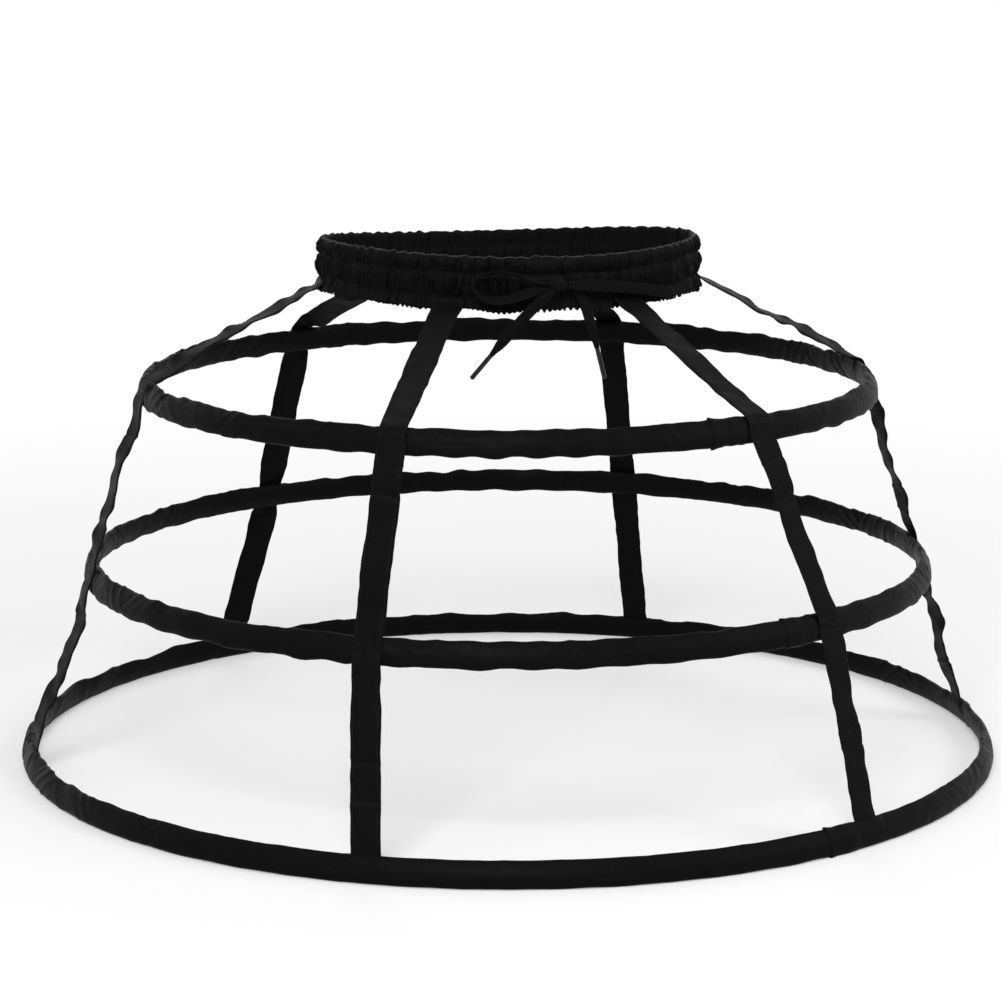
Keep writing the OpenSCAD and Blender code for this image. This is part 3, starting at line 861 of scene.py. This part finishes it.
@dataclass
class HoopCasing:
    """A satin tube round one hoop's bone, gathered a little on it and lapped at its ends."""

    name: str
    radius: float
    height: float
    station: int
    seed: int
    slack: float
    puff: tuple[float, float]
    half_tall: float = 9.9
    half_thick: float = 4.75
    thin_top: float = 0.42
    bone_low: float = 5.05
    bone_clear: float = 4.0
    section_round: float = 52.0
    # Cloth is loosest within this many degrees of the cage's sides.
    side_deg: float = 20.0
    # Each set of puckers: how many in a full turn, and how far they slant over the casing's height.
    puckers: tuple[tuple[int, float], ...] = ((110, 2.0), (145, -2.4), (85, 1.2))
    pucker_depth: float = 0.5
    fold_at: float = 3.4
    fold_w: float = 0.9
    fold_depth: float = 0.5
    lap_len: float = 30.0
    lap_t: float = 1.0
    lap_edge_deg: float = 0.06
    corner_deg: float = 1.1
    corner_lift: float = 1.5
    puff_deg: float = 3.0
    columns: int = 1150
    rows: int = 44

    def build(self, finishes: Finishes) -> None:
        """Args:
            finishes: the finishes to dress it in.
        """
        even = np.linspace(-np.pi, np.pi, self.columns, endpoint=False)
        close = np.radians(self._lap_start() + np.linspace(-2 * self.lap_edge_deg, 2 * self.lap_edge_deg, 7))
        turn = np.sort(np.concatenate([even, close]))
        points = self._surface(turn[:, None], full_turn(self.rows)[None])
        along = self.radius * np.append(turn + np.pi, 2 * np.pi)
        around = np.linspace(0, self.section_round, self.rows + 1)
        casing = grid_object(f"{self.name}_casing_cloth", points, True, along, around)
        finish_piece(casing, finishes.satin, (f"{self.name}_hoop_casing",))

    def _lap_start(self) -> float:
        """Give the angle of the lapping end in degrees: the lap's length before the front right tape."""
        before = math.degrees((TAPE_W / 2 + 0.3 + self.lap_len) / self.radius)
        return TAPE_TURNS["front_right"][self.station] - before

    def _surface(self, turn: Array, spin: Array) -> Array:
        """Work out the cloth.

        The section is a rounded oval, full round the bone at the bottom and thinner towards the seam on top
        except under a tape. To it are added a wavy top edge, slanting puckers with sharp valleys, a fold that
        runs along the outer face and comes and goes, a puff where the cloth bunches, and a step with a lifted
        corner where the ends lap. The cloth keeps clear of the bone, and where it would reach into the floor,
        it lies on it.

        Args:
            turn: angles round the hoop, from the front, as a column.
            spin: angles round the section, from its outer face, as a row.

        Returns:
            The points in millimetres.
        """
        cos, sin = np.cos(spin), np.sin(spin)
        tall = self.half_tall * squared(sin, 0.9) + 0 * turn
        rise = np.clip(tall / self.half_tall, 0, 1)
        free = 1 - at_tapes(turn, self.radius, 2.0, self.station)
        out = self.half_thick * squared(cos, 0.75) * (1 - self.thin_top * rise ** 1.4 * free)
        degrees = np.degrees(turn)
        side = bell(np.abs(np.abs(degrees) - 90), 0, self.side_deg)
        loose = self.slack + (1 - self.slack) * (0.5 - 0.5 * np.cos(turn)) + 0.5 * side
        top = rise ** 1.5
        edge = 0.6 * waver(turn, 6, 26, self.seed) + 0.45 * waver(turn, 30, 90, self.seed + 1)
        tall = tall + top * loose * edge * (0.3 + 0.7 * free)
        out = out + top * loose * 0.9 * waver(turn, 8, 40, self.seed + 2) * free
        puckers = sum(self._puckers(turn, tall, n) for n in range(len(self.puckers)))
        depth = self.pucker_depth * (0.15 + 0.4 * loose + 1.3 * side) * free * (0.5 + 0.5 * rise)
        out = out + 0.5 * free * waver(turn, 14, 44, self.seed + 6) * np.clip(cos, 0, 1) * (0.3 + 0.7 * rise)
        swell = np.maximum(depth * puckers, -0.45)
        course = self.fold_at + 2.2 * waver(turn, 2, 9, self.seed + 8)
        fold = bell(tall, course, self.fold_w) * np.clip(0.3 + waver(turn, 3, 16, self.seed + 9), 0, 1)
        swell = swell - self.fold_depth * fold * free * (cos > 0)
        low = np.clip(-tall / self.half_tall, 0, 1) ** 1.5
        tall = tall + low * self.slack * waver(turn, 20, 70, self.seed + 7) * free
        swell = swell + self._lap(turn, sin, cos)
        bunch = bell(degrees, self.puff[0], self.puff_deg) * self.puff[1]
        out, tall = out + 0.6 * bunch * rise, tall + bunch * top
        out, tall = out + cos * swell, tall + sin * swell * 0.7
        below = tall + self.bone_low
        clear = np.maximum(1, self.bone_clear / np.maximum(np.hypot(out, below), 0.1))
        out, tall = out * clear, below * clear - self.bone_low
        r = self.radius + OUT[0] * out - DOWN[0] * tall
        z = np.maximum(self.height + OUT[1] * out - DOWN[1] * tall, 0.0)
        return about_axis(turn, r, z)

    def _puckers(self, turn: Array, tall: Array, order: int) -> Array:
        """Give one set of puckers: folded sine waves of wandering pace that come and go round the hoop.

        Args:
            turn: angles round the hoop, as a column.
            tall: heights on the section.
            order: which set.

        Returns:
            Their height, from 1 on a crest to -1 in a valley, times how strong they are there.
        """
        rate, slant = self.puckers[order]
        phase = rate * turn / 2 + slant * tall / 10 + 1.6 * waver(turn, 3, 22, self.seed + 10 + order)
        strength = np.clip(waver(turn, 9, 40, self.seed + 20 + order), 0, 1.5)
        return (1 - 2 * np.abs(np.sin(phase)) ** 0.8) * strength

    def _lap(self, turn: Array, sin: Array, cos: Array) -> Array:
        """Give the lapping end's thickness: a sharp step that sinks away under the tape, with a lifted corner.

        Args:
            turn: angles round the hoop, as a column.
            sin: sines of the angles round the section.
            cos: cosines of the angles round the section.

        Returns:
            How far the lap stands out of the cloth under it.
        """
        past = np.degrees(turn) - self._lap_start()
        length = math.degrees(self.lap_len / self.radius)
        step = ease(past, -self.lap_edge_deg, self.lap_edge_deg)
        lap = self.lap_t * (step * (1 - ease(past, 0.8 * length, length)))
        corner = self.corner_lift * (step * np.clip(1 - past / self.corner_deg, 0, 1))
        return (lap * (0.8 + 0.2 * waver(turn, 60, 160, self.seed + 5))
                + corner * np.abs(sin) ** 3 * (cos > -0.3))


@dataclass
class TapeCourse:
    """A tape's middle line in samples, with what is needed to lay cloth and stitches along it.

    The line and the directions out of its face are pairs of distance from the axis and height. Crossings are
    the distances along the tape where it meets the edges of the top and middle casings.
    """

    along: Array
    line: Array
    face: Array
    turn: Array
    twist: Array
    crossings: tuple[float, ...]

    def place(self, at: Array, across: Array, deep: Array) -> Array:
        """Put offsets across the tape and out of its face in place round the cage.

        Args:
            at: distances along the tape.
            across: offsets across it, one row for each distance.
            deep: offsets out of its face.

        Returns:
            The points in millimetres.
        """
        r, z, out, up, turn, twist = (
            np.interp(at, self.along, values)[:, None] for values in
            (self.line[:, 0], self.line[:, 1], self.face[:, 0], self.face[:, 1], self.turn, self.twist))
        wide = across * np.cos(twist) - deep * np.sin(twist)
        high = across * np.sin(twist) + deep * np.cos(twist)
        r, z = r + out * high, z + up * high
        x, y = r * np.sin(turn) + wide * np.cos(turn), wide * np.sin(turn) - r * np.cos(turn)
        return np.stack([x, y, z], 2)


@dataclass
class Tape:
    """One satin tape, folded and edge-stitched, from the waistband over two hoops into the bottom casing."""

    name: str
    angles: tuple[float, float, float, float]
    seed: int
    wave: float
    twist: float
    turn_in: tuple[float, float]
    thick: float = 1.2
    edge_seam: float = 2.0
    stitch: float = 3.0
    stitch_gap: float = 0.25
    thread: float = 0.55
    reach: float = 5.05
    wrap: float = 5.85
    flare: float = 0.12
    # Where the tape starts under the band's lower stitch row and where it leaves the ruffle: distance, height.
    sewn_at: tuple[float, float] = (145.5, 369.8)
    leaves_at: tuple[float, float] = (147.5, 365.0)
    groove_depth: float = 0.28
    roll_height: float = 0.18
    creases: int = 5
    crease_w: float = 1.5
    samples: int = 330

    def build(self, finishes: Finishes) -> None:
        """Args:
            finishes: the finishes to dress it in.
        """
        course = self._course()
        points, around = self._surface(course)
        tape = grid_object(f"{self.name}_tape_cloth", points, False, course.along, around)
        finish_piece(tape, finishes.satin, (f"{self.name}_tape",))
        stitches = self._stitches(course)
        finish_piece(stitches, finishes.thread)

    def _course(self) -> TapeCourse:
        """Work out the tape's course.

        Straight runs join the band, the round shoulder of the top hoop, the faces of the top and middle
        hoops and the bottom casing's seam. Between the hoops the tape drifts from one angle to the next,
        wanders in and out, and turns a little about its own line.

        Returns:
            The course in samples.
        """
        line, reach = self._corners()
        along = np.linspace(0, reach[-1], self.samples)
        # The course's corners: where it leaves the band, the shoulder's start and end, the lower edge of the
        # top hoop, the upper and lower edge of the middle hoop, and the bottom casing's seam.
        leaves, shoulder = reach[1:3]
        bent, top_low, mid_high, mid_low, seam = reach[10:15]
        line = np.stack([np.interp(along, reach, line[:, n]) for n in (0, 1)], 1)
        soft = np.exp(-0.5 * (np.arange(-6, 7) / 2.2) ** 2)
        padded = np.vstack([np.repeat(line[:1], 6, 0), line, np.repeat(line[-1:], 6, 0)])
        line = np.stack([np.convolve(padded[:, n], soft / soft.sum(), "valid") for n in (0, 1)], 1)
        line[:, 1] += float(waist_tilt(np.radians(self.angles[0]))) * (1 - ease(along, 3.0, shoulder * 0.97))
        free = (ease(along, leaves, shoulder) * (1 - ease(along, shoulder - 20, shoulder))
                + window(along, top_low + 12, mid_high - 12, 24) + window(along, mid_low + 12, seam - 10, 20))
        turn = np.radians(np.interp(along, [leaves, shoulder, top_low, mid_high, mid_low, seam],
                                    np.array(self.angles)[[0, 1, 1, 2, 2, 3]]))
        share = 2 * np.pi * along / along[-1]
        line = line + self._face(line) * (free * self.wave * waver(share, 2, 9, self.seed))[:, None]
        upper, lower = window(along, leaves + 14, shoulder - 8, 22), free * ease(along, shoulder, top_low)
        twist = (upper * self.turn_in[0] + lower * self.turn_in[1]
                 + self.twist * waver(share, 1, 4, self.seed + 3) * np.sin(share / 2) ** 2)
        crossings = (bent + 1.5, top_low - 0.5, mid_high + 0.5, mid_low - 0.5)
        return TapeCourse(along, line, self._face(line), turn, twist, crossings)

    def _corners(self) -> tuple[Array, Array]:
        """Work out the corners of the tape's course.

        The tape goes straight from the band to where it touches the top casing's round shoulder, bends with
        the shoulder through nine points, and then goes straight from face to face.

        Returns:
            The corners, as distance from the axis and height, and the distance along the tape to each.
        """
        top, middle, bottom = (np.array(HOOPS[n]) for n in ("top", "middle", "bottom"))
        shoulder = top - DOWN * self.reach
        to = np.array(self.leaves_at) - shoulder
        first = math.atan2(to[1], to[0]) - math.acos(self.wrap / float(np.linalg.norm(to)))
        arc = np.linspace(first, LEAN, 9)
        wrapped = shoulder + self.wrap * np.stack([np.cos(arc), np.sin(arc)], 1)
        faces = [c + DOWN * s * self.reach + OUT * self.wrap for c, s in ((top, 1), (middle, -1), (middle, 1))]
        corners = np.vstack([self.sewn_at, self.leaves_at, wrapped, *faces,
                             bottom - DOWN * 10.5 - OUT * 0.3, bottom - DOWN * 4.0])
        return corners, reach_along(corners)

    @staticmethod
    def _face(line: Array) -> Array:
        """Give the directions straight out of a line's face: its run turned a quarter outwards."""
        run = unit(np.gradient(line, axis=0))
        return np.stack([-run[:, 1], run[:, 0]], 1)

    def _surface(self, course: TapeCourse) -> tuple[Array, Array]:
        """Carry the tape's section along its course.

        The section is a thin slab with full rolled edges and a groove under each row of stitches.

        Args:
            course: the tape's course.

        Returns:
            The points in millimetres and the distance round the section.
        """
        half = TAPE_W / 2
        seam = half - self.edge_seam
        across = half * np.sin(np.linspace(-np.pi / 2, np.pi / 2, 25))
        beside = [-seam - 0.5, -seam, -seam + 0.5, seam - 0.5, seam, seam + 0.5]
        across = np.sort(np.concatenate([across, beside]))
        edge = np.sqrt(np.clip(1 - (np.abs(across) / half) ** 14, 0, 1))
        groove = self.groove_depth * bell(np.abs(across), seam, 0.45)
        roll = self.roll_height * ease(np.abs(across), seam + 0.3, half - 0.4)
        deep = np.maximum(self.thick / 2 * edge - groove * edge + roll * edge, 0)
        loop_across = np.concatenate([across, across[-2:0:-1]])[None]
        loop_deep = np.concatenate([deep, -deep[-2:0:-1]])[None]
        points = self._laid(course, course.along, loop_across, loop_deep)
        ring = np.concatenate([loop_across.ravel(), loop_across.ravel()[:1]])
        return points, np.concatenate([[0], np.cumsum(np.abs(np.diff(ring)))])

    def _laid(self, course: TapeCourse, at: Array, across: Array, deep: Array) -> Array:
        """Put places on the flat tape where the limp cloth takes them.

        The tape widens towards the band, and its edges wander in and out by part of a millimetre. It ripples
        more towards its edges, by an odd and an even share of the offset across, and a few sharp creases run
        across it at a slant.

        Args:
            course: the tape's course.
            at: distances along the tape.
            across: offsets across the flat tape.
            deep: offsets out of its face.

        Returns:
            The points in millimetres.
        """
        length, lean = course.along[-1], across / (TAPE_W / 2)
        share = 2 * np.pi * at / length
        pull = 1 + 0.02 * (waver(share, 3, 14, self.seed + 4) + 0.4 * waver(share, 20, 40, self.seed + 5))
        pull = (pull + self.flare * (1 - ease(at, 3.0, 40.0)))[:, None]
        limp = 0.1 + 0.25 * self.wave
        ripple = limp * (waver(share, 6, 22, self.seed + 6)[:, None] * lean
                         + waver(share, 6, 30, self.seed + 7)[:, None] * lean ** 2)
        dice = np.random.default_rng(self.seed + 8)
        places = dice.uniform(0.3, 0.95, self.creases) * length
        slants = dice.uniform(-0.25, 0.25, self.creases)
        beside = at[:, None, None] - places - slants * across[..., None]
        crease = (dice.uniform(0.5, 1.0, self.creases) * bell(beside, 0, self.crease_w)).sum(2)
        return course.place(at, across * pull, deep + ripple - crease)

    def _stitches(self, course: TapeCourse) -> bpy.types.Object:
        """Sew a row in each edge groove and a row across at each edge of the top and middle casings.

        Args:
            course: the tape's course.

        Returns:
            The stitches.
        """
        proud = self.thick / 2 - 0.2
        seam = TAPE_W / 2 - self.edge_seam
        shifts = (self.stitch_gap, self.stitch - self.stitch_gap)
        at = np.arange(4, course.along[-1] - 16, self.stitch)
        rows = np.array([[-seam, seam]]) + 0 * at[:, None]
        starts, ends = (self._laid(course, at + shift, rows, 0 * rows + proud) for shift in shifts)
        outward = unit(course.place(at, rows, 0 * rows + 1) - course.place(at, rows, 0 * rows))
        over = np.array(course.crossings)
        steps = np.arange(-seam, seam - self.stitch, self.stitch)[None] + 0 * over[:, None]
        lifted = 0 * steps + proud + 0.15
        cross_starts, cross_ends = (self._laid(course, over, steps + shift, lifted) for shift in shifts)
        cross_outward = unit(course.place(over, steps, lifted + 1) - course.place(over, steps, lifted))
        flat = [np.concatenate([one.reshape(-1, 3), two.reshape(-1, 3)]) for one, two in
                ((starts, cross_starts), (ends, cross_ends), (outward, cross_outward))]
        return stitch_object(f"{self.name}_tape_stitches", *flat, self.thread)


@dataclass
class Waistband:
    """The gathered satin band: an elastic channel, a lace channel and a ruffle, pinched at two stitch rows."""

    pitch: float = 2.8
    mean_r: float = 145.0
    fullness: float = 1.25
    per_gather: int = 6
    seed: int = 40
    upper_row: float = 387.3
    lower_row: float = 369.8
    stitch_r: float = 144.5
    stitch_count: int = 300
    thread: float = 0.45
    # Over the channels the wall outside middle_r stays beyond outer_clear, and the wall inside it stays within
    # inner_clear, so that both are clear of what runs between them.
    channels: tuple[float, float] = (371.0, 399.3)
    middle_r: float = 143.0
    outer_clear: float = 143.9
    inner_clear: float = 141.3
    # The smooth seam panel in front, in degrees from the front.
    panel: tuple[float, float] = (-7.0, 2.0)
    flutes: int = 180
    slant_about: float = 378.0
    # Each row: height, distance from the axis, depth of the gathers, depth of the ruffle's flutes.
    rows: Array = field(default_factory=lambda: np.array([
        [399.8, 142.0, 0.4, 0], [398.9, 144.0, 0.8, 0], [397.0, 145.4, 1.25, 0], [393.6, 146.2, 1.5, 0],
        [390.4, 145.8, 1.35, 0], [388.4, 145.0, 0.95, 0], [387.3, 144.0, 0.4, 0], [386.2, 145.0, 0.95, 0],
        [383.0, 146.1, 1.5, 0], [378.5, 146.6, 1.7, 0], [374.0, 146.1, 1.5, 0], [371.0, 145.0, 0.95, 0],
        [369.8, 144.0, 0.4, 0], [368.6, 144.6, 0.75, 0.1], [366.0, 145.6, 1.1, 0.35], [363.0, 147.0, 1.1, 0.7],
        [360.7, 148.2, 0.95, 1.0], [360.1, 147.8, 0.8, 1.0], [360.6, 147.0, 0.8, 1.0], [363.0, 145.8, 1.1, 0.7],
        [366.0, 144.4, 0.95, 0.35], [368.8, 142.9, 0.6, 0.1], [370.6, 141.6, 0.4, 0], [373.0, 140.4, 0.6, 0],
        [378.5, 140.2, 0.8, 0], [384.0, 140.4, 0.6, 0], [387.3, 141.2, 0.35, 0], [390.0, 140.4, 0.6, 0],
        [394.0, 140.2, 0.8, 0], [398.0, 140.4, 0.6, 0], [399.5, 141.0, 0.4, 0]]))
    row_count: int = 46

    def build(self, finishes: Finishes) -> None:
        """Args:
            finishes: the finishes to dress it in.
        """
        gathers = round(2 * math.pi * self.mean_r / self.pitch)
        turn = np.linspace(-np.pi, np.pi, gathers * self.per_gather, endpoint=False)
        profile, around = self._profile()
        points = self._surface(turn[:, None], profile, gathers)
        along = np.linspace(0, 2 * np.pi * self.mean_r * self.fullness, len(turn) + 1)
        band = grid_object("waistband_cloth", points, True, along, around)
        finish_piece(band, finishes.satin, ("waistband_casing",))
        elastic = self._inner_band("waist_elastic_band", (142.0, 143.2), (389.3, 397.8), (-180.0, 180.0))
        finish_piece(elastic, finishes.elastic, ("waist_elastic",))
        run = self._inner_band("bow_channel_run", (142.0, 143.4), (378.0, 386.0), (4.0, 359.0))
        finish_piece(run, finishes.lace, ("drawstring_channel_run",))
        stitches = self._stitches()
        finish_piece(stitches, finishes.thread)

    def _profile(self) -> tuple[Array, Array]:
        """Sample the band's section evenly round its closed outline.

        Returns:
            Rows of height, distance, gather depth and flute depth, and the distance round the section.
        """
        closed = np.vstack([self.rows, self.rows[:1]])
        reach = reach_along(closed[:, :2])
        around = np.linspace(0, reach[-1], self.row_count + 1)
        return np.stack([np.interp(around[:-1], reach, closed[:, n]) for n in range(4)], 1), around

    def _surface(self, turn: Array, profile: Array, gathers: int) -> Array:
        """Work out the gathered cloth.

        The distance from the axis is the section's own, plus gathers and broad flutes in the ruffle. The
        gathers are shallower under the tapes and on a smooth seam panel in front. Over the channels the two
        walls keep clear of what runs inside. The rim and the ruffle's edge are ragged, and the whole band
        rises in front and at the sides and sags behind.

        Args:
            turn: angles round the band, from the front, as a column.
            profile: rows of the section.
            gathers: number of gathers in a full turn.

        Returns:
            The points in millimetres.
        """
        z, r, depth, flute = (profile[None, :, n] for n in range(4))
        # Shares that are 1 above the upper stitch row, and 1 below the lower one.
        upper, lower = ease(z, 386.4, 388.2), 1 - ease(z, 368.9, 370.7)
        crest = self._crests(turn, z, upper, lower, gathers)
        uneven = np.clip(0.9 + 0.4 * waver(turn, 30, 160, self.seed + 3), 0.35, 1.7)
        panel = window(np.degrees(turn), *self.panel, 1.0)
        tapes = at_tapes(turn, 146, 1.0, 0) * lower
        gather = depth * crest * uneven * (1 - 0.75 * panel) * (1 - 0.6 * tapes)
        wave = np.cos(self.flutes * turn + 1.6 * waver(turn, 5, 60, self.seed + 4))
        flutes = 0.75 * flute * wave * (1 - 0.8 * tapes)
        radius = r + gather + flutes + panel * upper * 0.5 - tapes * ease(z, 370, 364) * 0.8
        kept = np.where(r > self.middle_r, np.maximum(radius, self.outer_clear),
                        np.minimum(radius, self.inner_clear))
        radius = radius + window(z, *self.channels, 0.4) * (kept - radius)
        ragged = lower * ease(-z, -364.0, -360.5) * (0.55 * waver(turn, 110, 260, self.seed + 5)
                                                    + 0.6 * waver(turn, 8, 30, self.seed + 6))
        rim = ease(z, 396, 399.5) * (0.35 * waver(turn, 40, 130, self.seed + 7) + 0.8 * panel)
        return about_axis(turn, radius, z + waist_tilt(turn) + ragged + rim)

    def _crests(self, turn: Array, z: Array, upper: Array, lower: Array, gathers: int) -> Array:
        """Give the gathers' height, from about 1 on a crest to about -1 in a valley.

        Each is a folded sine with a round crest and a sharp valley. Its phase drifts round the band, changes
        at each stitch row and slants, most on the right side, and it fades in and out up the band. Broader
        puffs, a third as many, are added to them.

        Args:
            turn: angles round the band, from the front, as a column.
            z: heights on the section, as a row.
            upper: share that is 1 above the upper stitch row.
            lower: share that is 1 below the lower stitch row.
            gathers: number of gathers in a full turn.

        Returns:
            The height at each point of the grid.
        """
        degrees, over = np.degrees(turn), z - self.slant_about

        def sway(slowest: int, fastest: int, order: int) -> Array:
            """Give one of the band's own wandering values."""
            return waver(turn, slowest, fastest, self.seed + order)

        slant = (window(degrees, 18, 100, 20) * 0.6 - window(degrees, -100, -40, 30) * 0.25
                 + 0.22 * sway(5, 24, 9))
        phase = (gathers * turn + 1.8 * sway(3, 40, 0) + 1.4 * upper * sway(12, 80, 1)
                 + 1.4 * lower * sway(12, 80, 2) + slant * 2 * np.pi / self.pitch * over * 0.45)
        phase = phase + 0.55 * np.sin(0.55 * z + 4 * sway(5, 60, 8))
        crest = 2 * np.abs(np.sin(phase / 2)) ** 1.1 - 1
        fade = np.clip(0.75 + 0.55 * np.sin(0.33 * z + 5 * sway(20, 110, 10)), 0.15, 1.25)
        broad = (gathers / 3.3 * turn + 2.4 * sway(5, 60, 11) + 0.12 * over * sway(4, 30, 12)
                 + 2.2 * upper * sway(8, 50, 13) + 2.2 * lower * sway(8, 50, 14))
        return 0.8 * crest * fade + 0.65 * np.sin(broad)

    @staticmethod
    def _inner_band(name: str, across: tuple[float, float], up: tuple[float, float],
                    sweep: tuple[float, float]) -> bpy.types.Object:
        """Lay a flat band inside a channel: a rounded slab carried round the waist, a little cockled.

        Args:
            name: the piece's name.
            across: inner and outer distance from the axis.
            up: lower and upper height.
            sweep: first and last angle in degrees from the front; a full turn makes a ring.

        Returns:
            The band.
        """
        columns, rows, cockle, cockles = 480, 20, 0.1, 131
        ring = sweep[1] - sweep[0] >= 360
        turn = np.radians(np.linspace(*sweep, columns, endpoint=not ring))[:, None]
        spin = full_turn(rows)[None]
        mid, half = sum(across) / 2, (across[1] - across[0]) / 2
        tall = up[1] - up[0]
        r = mid + half * squared(np.cos(spin), 0.5) + cockle * np.cos(cockles * turn)
        z = sum(up) / 2 + tall / 2 * squared(np.sin(spin), 0.5) + waist_tilt(turn)
        along = np.linspace(0, mid * math.radians(sweep[1] - sweep[0]), columns + ring)
        return grid_object(name, about_axis(turn, r, z), ring, along, np.linspace(0, 2 * tall, rows + 1))

    def _stitches(self) -> bpy.types.Object:
        """Sew the two rows that part the channels and the ruffle.

        Returns:
            The stitches.
        """
        turn = full_turn(self.stitch_count)
        starts, ends = (np.concatenate([about_axis(here, self.stitch_r, height + waist_tilt(here))
                                        for height in (self.upper_row, self.lower_row)])
                        for here in (turn + share * 2 * np.pi / self.stitch_count for share in (0.08, 0.92)))
        outward = np.tile(about_axis(turn, 1.0, 0 * turn), (2, 1))
        return stitch_object("waistband_stitches", starts, ends, outward, self.thread)


@dataclass
class HiddenPieces:
    """The pieces inside the hoops, whose own solids are right: the bones and their joiners."""

    def dress(self, finishes: Finishes) -> None:
        """Give each kept node its finish.

        Args:
            finishes: the finishes to dress them in.
        """
        for hoop in HOOPS:
            for kind, material in (("bone", finishes.tube), ("joiner", finishes.plug)):
                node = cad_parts[f"{hoop}_hoop_{kind}"]
                node.data.materials.clear()
                node.data.materials.append(material)
                LOG.info("%s_hoop_%s: dressed in %s", hoop, kind, material.name)


def main() -> None:
    """Build the cage piece by piece."""
    logging.basicConfig(level=logging.INFO, format="%(message)s")
    Studio().build()
    finishes = Finishes()
    DrawstringBow().build(finishes)
    Waistband().build(finishes)
    for station, (name, (radius, height)) in enumerate(HOOPS.items(), 1):
        HoopCasing(name, radius, height, station, HOOP_SEED * station, *HOOP_CLOTH[name]).build(finishes)
    for order, (name, angles) in enumerate(TAPE_TURNS.items()):
        Tape(name, angles, TAPE_SEED + TAPE_SEED_STEP * order, *TAPE_CLOTH[name]).build(finishes)
    HiddenPieces().dress(finishes)


if __name__ == "__main__":
    main()
